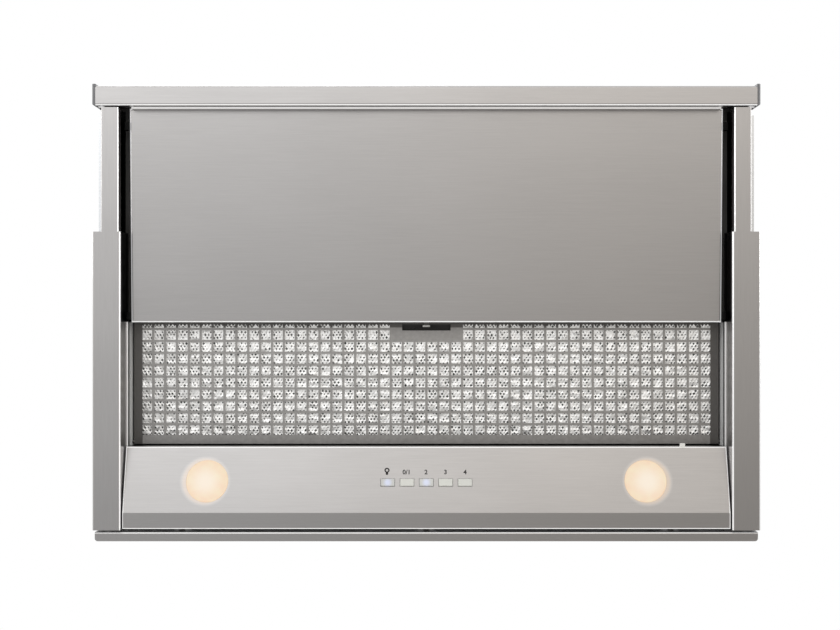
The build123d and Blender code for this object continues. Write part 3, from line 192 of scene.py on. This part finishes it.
def brushed_steel(
    name, lengthwise, halos=(), outer=(1.0, 1.0), painted_shade_box=None, painted_hem_highlight_box=None, tone=STEEL
):
    """AISI 304 stainless sheet, brushed with a K240 belt along one direction.

    The belt leaves long fine scratches that blur reflections, so the steel looks pale
    and satin with faint streaks. Real scratches are under 0.1 mm wide and are drawn
    0.5 and 1 mm wide to show. Folds get a painted highlight: they are painted almost
    white, and glow with painted light where they face down; the outer shares say how
    white the outward ones are and how much they glow. The box of painted shade is a
    part painted dark as the hood's own shade, and the box of painted highlight paints
    a rolled hem near white. A halo is warm lamplight painted as a glow on the steel
    round a lamp.
    """
    material, tree, place = start(name)
    fine_size, coarse_size = (
        [long if axis == lengthwise else wide for axis in range(3)]
        for wide, long in (FINE_STREAK, COARSE_STREAK)
    )
    fine = grain(tree, place, fine_size)
    coarse = grain(tree, place, coarse_size, detail=1.0)
    clouds = grain(tree, place, STEEL_CLOUDS, detail=1.0)
    streak = add_node(tree, "Math", {0: fine, 1: coarse}, operation="ADD")
    streak = add_node(tree, "Math", {0: streak, 1: clouds}, operation="ADD")
    flat = between(tree, streak, *tone, STREAKS)

    # A fold leans, so its normal is neither upright nor level.
    normal = add_node(tree, "TexCoord", out="Normal")
    facing = add_node(tree, "SeparateXYZ", {0: normal}, out="Z")
    lean = add_node(tree, "Math", {0: facing}, operation="ABSOLUTE")
    off_upright = {0: lean, 1: OFF_UPRIGHT[0], 2: OFF_UPRIGHT[1]}
    off_upright = add_node(tree, "MapRange", off_upright)
    off_level = add_node(tree, "MapRange", {0: lean, 1: OFF_LEVEL[0], 2: OFF_LEVEL[1]})
    fold = add_node(tree, "Math", {0: off_upright, 1: off_level}, operation="MULTIPLY")
    from_middle = add_node(tree, "VectorMath", {0: place, 1: (1, 1, 0)}, operation="MULTIPLY")
    away = {0: normal, 1: from_middle}
    away = add_node(tree, "VectorMath", away, out=1, operation="DOT_PRODUCT")
    away = add_node(tree, "MapRange", {0: away, 1: FACES_OUTWARD[0], 2: FACES_OUTWARD[1]})
    # Painted highlight: folds are painted near white, outward ones by the given shares.
    white = add_node(tree, "MapRange", {0: away, 3: 1.0, 4: outer[0]})
    bright = add_node(tree, "MapRange", {0: away, 3: FOLD_PAINTED_GLOW, 4: FOLD_PAINTED_GLOW * outer[1]})
    fold = add_node(tree, "Math", {0: fold, 1: white}, operation="MULTIPLY")
    # Painted highlight: a rolled hem in its box is painted near white where it faces straight
    # down.
    if painted_hem_highlight_box:
        down = {0: facing, 1: FACES_STRAIGHT_DOWN[0], 2: FACES_STRAIGHT_DOWN[1]}
        down = add_node(tree, "MapRange", down)
        hem = {0: within(tree, place, *painted_hem_highlight_box), 1: down}
        hem = add_node(tree, "Math", hem, operation="MULTIPLY")
        fold = add_node(tree, "Math", {0: fold, 1: hem}, operation="MAXIMUM")
    folded = {0: fold, 6: flat, 7: linear(FOLD_PAINTED_HIGHLIGHT)}
    colour = add_node(tree, "Mix", folded, out=2, data_type="RGBA")
    # Painted shade: a part in its box is painted dark and loses its fold highlight.
    if painted_shade_box:
        shade = within(tree, place, *painted_shade_box)
        shaded = {0: shade, 6: colour, 7: linear(STEEL_IN_SHADE)}
        colour = add_node(tree, "Mix", shaded, out=2, data_type="RGBA")
        open_air = add_node(tree, "Math", {0: 1.0, 1: shade}, operation="SUBTRACT")
        fold = add_node(tree, "Math", {0: fold, 1: open_air}, operation="MULTIPLY")
    # Painted light: the fold highlight glows where it faces down.
    below = add_node(tree, "MapRange", {0: facing, 1: FACES_DOWN[0], 2: FACES_DOWN[1]})
    painted_fold_glow = add_node(tree, "Math", {0: fold, 1: below}, operation="MULTIPLY")
    painted_fold_glow = add_node(tree, "Math", {0: painted_fold_glow, 1: bright}, operation="MULTIPLY")
    rough = {0: streak, 1: STREAKS[0], 2: STREAKS[1]}
    rough |= {3: STEEL_ROUGHNESS[0], 4: STEEL_ROUGHNESS[1]}
    scratches = {"Height": streak, "Strength": 0.03, "Distance": 0.02 * MM}
    surface = {
        "Base Color": colour,
        "Metallic": 1.0,
        "Roughness": add_node(tree, "MapRange", rough),
        "Normal": add_node(tree, "Bump", scratches),
        "Emission Color": linear(WHITE),
        "Emission Strength": painted_fold_glow,
    }
    # Painted light: a warm glow is painted on the steel round each lamp.
    if halos:
        glow = near_either(tree, place, halos, LENS_RADIUS, LENS_RADIUS + HALO_WIDTH)
        warm = {0: glow, 6: linear(WHITE), 7: linear(HALO_COLOUR)}
        surface["Emission Color"] = add_node(tree, "Mix", warm, out=2, data_type="RGBA")
        glow = add_node(tree, "Math", {0: glow, 1: HALO_STRENGTH}, operation="MULTIPLY")
        both = {0: painted_fold_glow, 1: glow}
        surface["Emission Strength"] = add_node(tree, "Math", both, operation="MAXIMUM")
    return finish_with(material, tree, surface)


def zinc_sheet():
    """Hot-dip galvanised sheet: dull grey, with flat zinc crystals 6 to 12 mm across."""
    material, tree, place = start("galvanised_sheet")
    crystals = {"Vector": place, "Scale": 1 / (ZINC_CRYSTAL * MM), "Randomness": 1.0}
    cells = add_node(tree, "TexVoronoi", crystals, out="Color", feature="F1")
    shade = add_node(tree, "SeparateColor", {0: cells})
    surface = {
        "Base Color": between(tree, shade, "#8E9294", "#B2B6B8", (0.0, 1.0)),
        "Metallic": 1.0,
        "Roughness": add_node(tree, "MapRange", {0: shade, 3: 0.35, 4: 0.49}),
    }
    return finish_with(material, tree, surface)


def plain_metal(name, dark, light, roughness, grain_mm=(3, 3, 3), bump_mm=0.01, open_box=None):
    """A metal with a soft even grain, as rolling, plating or pressing leaves it.

    Outside its open box it is painted as shade, at under half of its brightness.
    """
    material, tree, place = start(name)
    speck = grain(tree, place, grain_mm)
    rough = {0: speck, 1: NOISE[0], 2: NOISE[1], 3: roughness - 0.05, 4: roughness + 0.05}
    pressed = {"Height": speck, "Strength": 0.3, "Distance": bump_mm * MM}
    colour = between(tree, speck, dark, light)
    if open_box:
        lit = {0: within(tree, place, *open_box), 6: linear(FRAME_IN_SHADE), 7: colour}
        colour = add_node(tree, "Mix", lit, out=2, data_type="RGBA")
    surface = {
        "Base Color": colour,
        "Metallic": 1.0,
        "Roughness": add_node(tree, "MapRange", rough),
        "Normal": add_node(tree, "Bump", pressed),
    }
    return finish_with(material, tree, surface)


def moulded(name, dark, light, roughness, grain_mm=0.6, bump_mm=0.02, gloss=0.5, lit=None):
    """A plastic or a coating: an even colour and the fine grain of its mould or spray.

    Lit is a point with a colour, a strength and two distances, for a light behind it.
    """
    material, tree, place = start(name)
    pits = grain(tree, place, (grain_mm, grain_mm, grain_mm))
    clouds = grain(tree, place, (30, 30, 30), detail=1.0)
    rough = {0: pits, 1: NOISE[0], 2: NOISE[1], 3: roughness - 0.06, 4: roughness + 0.06}
    dimples = {"Height": pits, "Strength": 0.5, "Distance": bump_mm * MM}
    surface = {
        "Base Color": between(tree, clouds, dark, light),
        "Roughness": add_node(tree, "MapRange", rough),
        "Specular IOR Level": gloss,
        "Normal": add_node(tree, "Bump", dimples),
    }
    if lit:
        centre, colour, strength, full_mm, none_mm = lit
        glow = {0: near(tree, place, centre, full_mm, none_mm), 1: strength}
        surface["Emission Color"] = linear(colour)
        surface["Emission Strength"] = add_node(tree, "Math", glow, operation="MULTIPLY")
    return finish_with(material, tree, surface)


def frosted_lens(centres):
    """Sand-blasted glass over a warm LED: milky, brightest in the middle, peach at its rim."""
    material, tree, place = start("frosted_glass")
    middle = near_either(tree, place, centres, 3, LENS_RADIUS)
    mottle = grain(tree, place, (9, 9, 9), detail=1.0)
    rim = between(tree, mottle, "#FFD0A2", "#FFE4B4")
    colours = {0: middle, 6: rim, 7: linear("#FFEEDA")}
    surface = {
        "Base Color": linear("#B9B3A8"),
        "Roughness": 0.45,
        "Emission Color": add_node(tree, "Mix", colours, out=2, data_type="RGBA"),
        "Emission Strength": add_node(tree, "MapRange", {0: middle, 3: 0.47, 4: 0.51}),
    }
    return finish_with(material, tree, surface)


lens_low, lens_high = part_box("lamp_lenses")
lens_x = lens_high.x - LENS_RADIUS * MM
lens_middle = (lens_low + lens_high) / 2
lamp_centres = [(side * lens_x, lens_middle.y, lens_middle.z) for side in (-1, 1)]

# The slope of the control panel, as a frame whose Y goes up it and whose Z goes out of it
SLOPE_FOOT = (0, 179, 1)  # mm, its lower edge
SLOPE_HEAD = (0, 121.3, 17)
foot, head = Vector(SLOPE_FOOT) * MM, Vector(SLOPE_HEAD) * MM
sideways = Vector((1, 0, 0))
up_slope = (head - foot).normalized()
slope = Matrix((sideways, up_slope, sideways.cross(up_slope))).transposed().to_4x4()
slope.translation = foot
BUTTON_PITCH = 17.4  # mm
BUTTON_ROW = 27.2  # mm up the slope
BUTTON_PROUD = 1.0
LED_COLOUR = "#9FB4FF"
LED_STRENGTH = 0.32
LED_SPREAD = (0.8, 5.0)  # mm

FAR = 400  # mm, beyond the hood on every side
# Bounds in mm of the boxes of painted shade and painted highlight below
PANEL_REAR = 8.4  # mm, where the slide panel ends when it is out
PROFILE_INSIDE = 277  # mm, just outside the profiles' inner walls
PROFILE_BOTTOM = 3
HEM_X = (270, 275)
HEM_Z = (24.2, 28)
RAIL_TOP = 27
LAMP_STEEL_TOP = 18.3
FRAME_LIT_X = 262.8
FRAME_LIT_Y = 13.4

# Channels are cut lengthwise from the sheet, so their scratches run front to back. Where the
# panel hides the profiles' inner walls they are painted as shade; their hems behind it get a
# painted highlight.
profile_steel = brushed_steel(
    "brushed_steel_of_the_profiles",
    1,
    outer=(1.0, 0.0),
    painted_shade_box=((0, -FAR, PROFILE_BOTTOM), (PROFILE_INSIDE, PANEL_REAR, FAR)),
    painted_hem_highlight_box=((HEM_X[0], PANEL_REAR, HEM_Z[0]), (HEM_X[1], FAR, HEM_Z[1])),
)
# The rails are painted dark as shade above their top, and their outward folds get none of the
# painted highlight.
rail_steel = brushed_steel(
    "brushed_steel_of_the_rails",
    1,
    outer=(0.0, 0.0),
    painted_shade_box=((-1, -FAR, RAIL_TOP), (FAR, FAR, FAR)),
)
bar_steel = brushed_steel("brushed_steel_of_the_bar", 0, outer=(0.0, 0.0), tone=BAR_STEEL)
# By the lamps the steel has a painted warm glow round each lens, and above its slope it is
# painted dark as shade.
lamp_steel = brushed_steel(
    "brushed_steel_by_the_lamps",
    0,
    halos=lamp_centres,
    painted_shade_box=((-1, -FAR, LAMP_STEEL_TOP), (FAR, FAR, FAR)),
)
# The filter's frame is painted as shade beside the walls and right behind the slide panel.
frame_aluminium = plain_metal(
    "rolled_aluminium_frame",
    "#A6A4A2",
    "#B4B2B0",
    0.48,
    open_box=((-1, FRAME_LIT_Y, -FAR), (FRAME_LIT_X, FAR, FAR)),
)
aluminium = plain_metal("rolled_aluminium", "#A19F9D", "#AFADAB", 0.48)
zinc_plate = plain_metal("zinc_plated_steel", "#B4B6B8", "#C6C8CA", 0.26, (1.5, 1.5, 1.5))
ball_steel = plain_metal("bearing_steel", "#BDBDBE", "#CFCFD0", 0.12, (2, 2, 2), 0.002)
iron = plain_metal("laminated_iron", "#5A5A5C", "#6A6A6C", 0.48, (0.5, 12, 12), 0.05)
black_coat = moulded("black_coated_sheet", "#080808", "#0E0E0D", 0.42, 1.2, 0.01, gloss=0.22)
# The slide cover's black coat is painted dark grey: painted light for what reaches it in its
# gap.
cover_coat_painted_lighter = moulded("black_coat_painted_lighter", "#504F4E", "#5A5958", 0.42, 1.2, 0.01, gloss=0.22)
cap_grey = moulded("mid_grey_abs", "#6A6A6C", "#747476", 0.42)
black_plastic = moulded("black_glass_filled_nylon", "#161617", "#1E1E1F", 0.44)

finishes = {
    "brushed stainless steel": brushed_steel("brushed_stainless_steel", 0),
    "galvanised sheet": zinc_sheet(),
    "black coated sheet": black_coat,
    "filter aluminium": aluminium,
    "expanded aluminium mesh": aluminium,
    "zinc plated steel": zinc_plate,
    "spring steel": plain_metal("spring_steel", "#97948F", "#A5A29D", 0.30, (8, 1, 1)),
    "bearing steel and cage": ball_steel,
    "dark grey plastic": moulded("dark_grey_abs", "#3B3C3E", "#444547", 0.42),
    "black plastic": black_plastic,
    "white plastic": moulded("white_acetal", "#EDECE8", "#F4F3EF", 0.34, 0.4, 0.01),
    "clear white plastic": moulded("milky_polycarbonate", "#DADBD5", "#E2E3DD", 0.34, 0.5, 0.01),
    "frosted lens": frosted_lens(lamp_centres),
    "lamp module": moulded("white_polycarbonate", "#C8C7C2", "#D4D3CE", 0.40),
    "circuit board": moulded("green_laminate", "#123A20", "#1B4A2B", 0.35, 0.8, 0.02),
    "switch plastic": black_plastic,
    "motor can": moulded("grey_baked_enamel", "#5C5F61", "#66696B", 0.36, 1.0, 0.015),
    "rotor iron": iron,
    "magnet": moulded("sintered_ferrite", "#343436", "#3E3E40", 0.55, 0.3, 0.02),
    "capacitor can": moulded("moulded_polypropylene", "#C9C9C4", "#D5D5D0", 0.30),
    "wire sleeve": moulded("pvc_sleeve", "#8F8F8B", "#9B9B97", 0.45),
}
own_finish = {
    "side_profile_left": profile_steel,
    "side_profile_right": profile_steel,
    "slide_rail_left": rail_steel,
    "slide_rail_right": rail_steel,
    "front_bar": bar_steel,
    # The slide panel's outward folds glow half again as much with painted light.
    "slide_panel": brushed_steel("brushed_steel_of_the_slide", 0, outer=(1.0, 1.5)),
    "control_panel": lamp_steel,
    "filter_frame": frame_aluminium,
    "slide_cover": cover_coat_painted_lighter,
    "end_cap_left": cap_grey,
    "end_cap_right": cap_grey,
    "latch_cup": moulded("dark_grey_nylon", "#3A3937", "#434240", 0.46),
    "latch_spring": plain_metal("blued_spring_steel", "#3C3C3D", "#464647", 0.36, (8, 1, 1)),
    "slide_glides": moulded("black_acetal", "#0A0A0A", "#101010", 0.70, gloss=0.1),
    "guide_runners": plain_metal("bright_zinc", "#E4E6E8", "#EEF0F2", 0.24, (1.5, 1.5, 1.5)),
    "plenum_sides": moulded("light_grey_coat", "#CFD0CF", "#D9DAD9", 0.46, 1.2, 0.01),
}
# The light button and the button of speed 2 are lit from behind by a cold white LED.
for button, place_in_row in (("button_1", -2), ("button_3", 0)):
    on_cap = slope @ (Vector((place_in_row * BUTTON_PITCH, BUTTON_ROW, BUTTON_PROUD)) * MM)
    led = (on_cap, LED_COLOUR, LED_STRENGTH, *LED_SPREAD)
    lit_plastic = moulded("lit_" + button, "#D0D1CE", "#D6D7D4", 0.34, 0.5, 0.01, lit=led)
    own_finish[button] = lit_plastic

for subpart in frame["record"]["subparts"]:
    node = subpart["node"]
    mesh = nodes[node].data
    mesh.materials.clear()
    mesh.materials.append(own_finish.get(node, finishes[subpart["material_slot"]]))


# New pieces


def link_piece(name, mesh, material, body, slot_name, *stands_for):
    """Puts a mesh into the scene as a piece that moves with a body of the hood."""
    mesh.materials.clear()
    mesh.materials.append(material)
    piece = bpy.data.objects.new(name, mesh)
    scene.collection.objects.link(piece)
    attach(piece, body)
    if stands_for:
        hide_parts(*stands_for)
    return piece


def bright_foil(name, dark, light, front_glow, rear_glow):
    """Bright-rolled aluminium foil, slit, stretched and crumpled.

    Its facets are small mirrors at odd angles, so it sparkles from white to grey.
    Wrinkles are 0.8 mm across. It glows with painted light, most of all at the front, for
    the light that goes to and fro between its layers, so it stays bright below the perforated
    sheet.
    """
    material, tree, place = start(name)
    wrinkle = grain(tree, place, (0.8, 0.8, 0.8), detail=1.0)
    back = add_node(tree, "SeparateXYZ", {0: place}, out="Y")
    creases = {"Height": wrinkle, "Strength": 0.5, "Distance": 0.10 * MM}
    glow = {0: back, 1: 10 * MM, 2: 60 * MM, 3: front_glow, 4: rear_glow}
    surface = {
        "Base Color": between(tree, wrinkle, dark, light),
        "Metallic": 1.0,
        "Roughness": 0.40,
        "Normal": add_node(tree, "Bump", creases),
        "Emission Color": linear("#FFFDFA"),
        "Emission Strength": add_node(tree, "MapRange", glow),
    }
    return finish_with(material, tree, surface)


# Sizes in millimetres
CELL_WIDTH = 3.2  # between openings in a row
CELL_HEIGHT = 5.2  # over one cell
MESH_COLUMNS = 168  # half cells either side of the middle
MESH_ROWS = 40  # half cells from front to rear
MESH_FRONT = 10.2
MESH_LAYERS = ((43.0, 42.05, 44.3), (45.9, 44.6, 47.9))  # middle, lowest and highest
CUP_HALF = 26.0  # the latch cup's recess
CUP_REAR = 19.5
FOIL = 0.15  # thick
WAVES = 24
WAVE_LENGTHS = (5, 14)
WHOLE_TURN = 6.3
CRUMPLE = 0.25
SHIFT = 0.25  # of a cell's middle or corner at most
OPENING = (0.20, 1.30)  # size of an opening, over the sizes below
UNEVEN = (0.85, 1.15)  # its four points' own share of that
OPENING_ACROSS = 0.95
OPENING_ALONG = 1.08
STRAND_TILT = 0.22


def crumple(x, y, height):
    """A sum of sines with random directions and lengths of 5 to 14 mm: its spread is height."""
    total = np.zeros_like(x)
    shortest, longest = WAVE_LENGTHS
    lows, highs = [[shortest], [0], [0]], [[longest], [math.pi], [WHOLE_TURN]]
    for length, turn, phase in zip(*rng.uniform(lows, highs, (3, WAVES))):
        along = x * math.cos(turn) + y * math.sin(turn)
        total += np.sin(along * 2 * math.pi / length + phase)
    return total * height * math.sqrt(2 / WAVES)


def expanded_sheet(middle, lowest, highest):
    """One layer of expanded foil as points and four-sided faces, in metres.

    Point u, v of a grid lies u half cells across and v half cells back. Where u + v is
    even it is the middle of a cell, and otherwise a corner that four cells share. Each
    cell is four strands, from its corners to the four points of a small opening.
    """
    half_cells = np.arange(-MESH_COLUMNS, MESH_COLUMNS + 1), np.arange(MESH_ROWS + 1)
    u, v = np.meshgrid(*half_cells, indexing="ij")
    x = u * CELL_WIDTH / 2 + rng.uniform(-SHIFT, SHIFT, u.shape)
    y = MESH_FRONT + v * CELL_HEIGHT / 2 + rng.uniform(-SHIFT, SHIFT, u.shape)
    inner = (abs(u) < MESH_COLUMNS) & (v > 0) & (v < MESH_ROWS) & ((u + v) % 2 == 0)
    inner &= ~((abs(x) < CUP_HALF) & (y < CUP_REAR))
    cu, cv = np.nonzero(inner)
    number = np.arange(u.size).reshape(u.shape)
    right, rear = number[cu + 1, cv], number[cu, cv + 1]
    left, front = number[cu - 1, cv], number[cu, cv - 1]
    corners = np.stack([right, rear, left, front], 1)
    reach = rng.uniform(*OPENING, (len(cu), 1)) * rng.uniform(*UNEVEN, (len(cu), 4))
    spread_x = np.array([OPENING_ACROSS, 0.0, -OPENING_ACROSS, 0.0]) * reach
    spread_y = np.array([0.0, OPENING_ALONG, 0.0, -OPENING_ALONG]) * reach
    hole_x = x[cu, cv][:, None] + spread_x
    hole_y = y[cu, cv][:, None] + spread_y
    holes = u.size + np.arange(hole_x.size).reshape(hole_x.shape)
    turned = [1, 2, 3, 0]
    strands = [corners, corners[:, turned], holes[:, turned], holes]
    faces = np.stack(strands, 2).reshape(-1, 4)
    all_x = np.concatenate([x.ravel(), hole_x.ravel()])
    all_y = np.concatenate([y.ravel(), hole_y.ravel()])
    tilt = np.tile([0.0, STRAND_TILT, 0.0, -STRAND_TILT], len(cu))
    tilt = np.concatenate([np.zeros(x.size), tilt])
    all_z = np.clip(middle + crumple(all_x, all_y, CRUMPLE) + tilt, lowest, highest)
    used, faces = np.unique(faces, return_inverse=True)
    points = np.stack([all_x, all_y, all_z], 1)[used] * MM
    return points, faces.reshape(-1, 4)


# The layer in front glows with painted light, and the layer behind is painted darker as
# the shade of the one in front, so its openings look grey.
foils = (
    bright_foil("bright_aluminium_foil", "#F2F2F1", "#FBFBFA", 0.20, 0.09),
    bright_foil("shaded_aluminium_foil", "#8E8E8C", "#A4A4A2", 0.0, 0.0),
)
for layer, (foil, heights) in enumerate(zip(foils, MESH_LAYERS), 1):
    points, faces = expanded_sheet(*heights)
    mesh = bpy.data.meshes.new("expanded_mesh")
    mesh.from_pydata(points.tolist(), [], faces.tolist())
    name = f"expanded_mesh_{layer}"
    sheet = link_piece(name, mesh, foil, "filter", "expanded aluminium mesh", "filter_mesh")
    thickness = sheet.modifiers.new("foil", "SOLIDIFY")
    thickness.thickness = FOIL * MM
    thickness.offset = 0


# Symbols over the buttons, printed on the slope of the control panel. Sizes in millimetres.

INK = 0.02  # proud of the steel
CAP_HEIGHT = 4.27
SYMBOL_ROW = 36.7  # up the slope
SYMBOLS = (
    ("symbol_off_and_1", "0/1", -18.3),
    ("symbol_2", "2", -0.3),
    ("symbol_3", "3", 17.2),
    ("symbol_4", "4", 34.9),
)
BULB_ACROSS = -35.5
BULB_UP = 37.4
BULB_STEPS = 40  # points round its ring
BULB_OUTSIDE = (2.35, 2.2, 0.95)  # half width, half height, and how far up it lies
BULB_INSIDE = (1.1, 1.1, 0.85)
BULB_FOOT = ((-1.25, -1.0), (-0.95, -3.2), (0.95, -3.2), (1.25, -1.0))


def symbol_mesh(text):
    """The outline of a few plain characters, made a mesh in its own plane."""
    curve = bpy.data.curves.new("symbol", "FONT")
    curve.body = text
    curve.align_x = "CENTER"
    curve.extrude = 0.01
    curve.offset = 0.028
    curve.resolution_u = 6
    writer = bpy.data.objects.new("symbol", curve)
    scene.collection.objects.link(writer)
    bpy.context.view_layer.update()
    graph = bpy.context.evaluated_depsgraph_get()
    mesh = bpy.data.meshes.new_from_object(writer.evaluated_get(graph))
    bpy.data.objects.remove(writer)
    return mesh


def place_symbol(name, mesh, across):
    """Scales a symbol to the capitals' height and lays it on the slope."""
    points = np.empty(len(mesh.vertices) * 3)
    mesh.vertices.foreach_get("co", points)
    points = points.reshape(-1, 3)
    low, high = points.min(0), points.max(0)
    scale = CAP_HEIGHT / (high[1] - low[1])
    points[:, 0] = (points[:, 0] - (low[0] + high[0]) / 2) * scale + across
    points[:, 1] = (points[:, 1] - (low[1] + high[1]) / 2) * scale + SYMBOL_ROW
    points[:, 2] = np.where(points[:, 2] > 0, INK, -INK)
    mesh.vertices.foreach_set("co", (points * MM).ravel())
    mesh.transform(slope)
    link_piece(name, mesh, ink, "root", "black plastic")


def bulb_symbol():
    """A light bulb as a ring over a tapered foot, both as thick as the ink.

    The ring lies between two ovals, each a half width times the cosine of a turn and a
    half height times its sine. The foot has four corners, and is narrower at its end.
    """
    turn = np.linspace(0, 2 * math.pi, BULB_STEPS, endpoint=False)
    ovals = [
        np.stack([wide * np.cos(turn), up + high * np.sin(turn)], 1)
        for wide, high, up in (BULB_OUTSIDE, BULB_INSIDE)
    ]
    flat = np.concatenate([*ovals, BULB_FOOT]) + (BULB_ACROSS, BULB_UP)
    count = len(flat)
    points = np.concatenate([np.c_[flat, np.full(count, z)] for z in (INK, -INK)])
    outer = np.arange(BULB_STEPS)
    outer_next = (outer + 1) % BULB_STEPS
    inner, inner_next = outer + BULB_STEPS, outer_next + BULB_STEPS
    foot = np.arange(count - 4, count)
    foot_next = np.roll(foot, -1)
    tops = np.concatenate([np.stack([outer, outer_next, inner_next, inner], 1), [foot]])
    bottoms = tops[:, ::-1] + count
    walls = [
        np.stack([b, a, a + count, b + count], 1)
        for a, b in ((outer, outer_next), (inner_next, inner), (foot, foot_next))
    ]
    faces = np.concatenate([tops, bottoms, *walls])
    mesh = bpy.data.meshes.new("bulb_symbol")
    mesh.from_pydata((points * MM).tolist(), [], faces.tolist())
    mesh.transform(slope)
    link_piece("symbol_light", mesh, ink, "root", "black plastic")


ink = moulded("black_screen_ink", "#1C1B1A", "#242322", 0.5, 0.3, 0.002)
for name, text, across in SYMBOLS:
    place_symbol(name, symbol_mesh(text), across)
bulb_symbol()


# Lights, world, floor

CLOTH_HALF = 1.5
CLOTH_DROP = 1.35
CLOTH_FULL = 1.37  # its greatest brightness
# The cloth's brightness at places along Y
CLOTH_STOPS = (
    (-0.46, 1.37),
    (-0.38, 1.05),
    (-0.27, 0.88),
    (-0.18, 0.85),
    (-0.10, 0.78),
    (0.00, 0.70),
    (0.10, 0.64),
    (0.25, 0.53),
    (0.40, 0.48),
    (0.45, 0.41),
)
CLOTH_REACH = 0.5  # the stops lie within this of the middle
CLOTH_LEFT, CLOTH_RIGHT = 1.15, 0.83  # shares of it on the left and on the right
FLOOR_HALF = 6.0
FLOOR_DROP = 2.4


def white_room():
    """A white room: full white behind the hood and in its metal, softer as a lamp."""
    world = bpy.data.worlds.new("white_room")
    world.use_nodes = True
    tree = world.node_tree
    tree.nodes.clear()
    seen = add_node(tree, "LightPath", out="Is Camera Ray")
    for other in ("Is Glossy Ray", "Is Transmission Ray"):
        ray = add_node(tree, "LightPath", out=other)
        seen = add_node(tree, "Math", {0: seen, 1: ray}, operation="MAXIMUM")
    strength = add_node(tree, "MapRange", {0: seen, 3: 0.75, 4: 1.0})
    room = add_node(tree, "Background", {"Color": linear(WHITE), "Strength": strength})
    add_node(tree, "OutputWorld", {"Surface": room})
    scene.world = world


def stage_sheet(name, half, drop, material):
    """A level square sheet below the hood, facing up, that isn't part of it."""
    around = ((-1, -1), (1, -1), (1, 1), (-1, 1))
    corners = [(x * half, y * half, -drop) for x, y in around]
    mesh = bpy.data.meshes.new(name)
    mesh.from_pydata(corners, [], [(0, 1, 2, 3)])
    mesh.materials.append(material)
    sheet = bpy.data.objects.new(name, mesh)
    scene.collection.objects.link(sheet)
    return sheet


def soft_light():
    """A backlit cloth below the hood, brightest below the front and the left.

    Its light is a curve through stops along Y, times a slope from left to right.
    """
    material, tree, place = start("backlit_cloth")
    back = add_node(tree, "SeparateXYZ", {0: place}, out="Y")
    across = add_node(tree, "SeparateXYZ", {0: place}, out="X")
    share = add_node(tree, "MapRange", {0: back, 1: -CLOTH_REACH, 2: CLOTH_REACH})
    shade = add_node(tree, "ValToRGB", {0: share})
    ramp = shade.node.color_ramp
    while len(ramp.elements) < len(CLOTH_STOPS):
        ramp.elements.new(0.5)
    for element, (y, light) in zip(ramp.elements, CLOTH_STOPS):
        element.position = (y + CLOTH_REACH) / (2 * CLOTH_REACH)
        element.color = [light / CLOTH_FULL] * 3 + [1.0]
    side = {0: across, 1: -0.6, 2: 0.6, 3: CLOTH_LEFT * CLOTH_FULL, 4: CLOTH_RIGHT * CLOTH_FULL}
    side = add_node(tree, "MapRange", side)
    strength = add_node(tree, "Math", {0: shade, 1: side}, operation="MULTIPLY")
    tint = between(tree, across, WHITE, "#FFFAF4", (-0.3, 0.3))
    glow = add_node(tree, "Emission", {"Color": tint, "Strength": strength})
    add_node(tree, "OutputMaterial", {"Surface": glow})
    return material


def lamp(name, place, target, size, watts):
    """A square soft lamp that faces a point."""
    data = bpy.data.lights.new(name, "AREA")
    data.size = size
    data.energy = watts
    made = bpy.data.objects.new(name, data)
    made.location = place
    made.rotation_euler = (Vector(target) - Vector(place)).to_track_quat("-Z", "Y").to_euler()
    scene.collection.objects.link(made)


white_room()
cloth = stage_sheet("backlit_cloth", CLOTH_HALF, CLOTH_DROP, soft_light())
cloth.visible_camera = False
cloth.visible_shadow = False
pale_floor = moulded("pale_floor", "#F2F1EF", "#F6F5F3", 0.6, 20, 0.1)
stage_sheet("floor", FLOOR_HALF, FLOOR_DROP, pale_floor)
lamp("left_lamp", (-2.2, -0.8, -0.5), (0, 0, 0.1), 1.2, 13)
lamp("right_lamp", (2.2, -0.6, -0.4), (0, 0, 0.1), 1.2, 16)
lamp("top_lamp", (-0.6, -1.4, 2.0), (0, 0, 0.2), 1.2, 22)
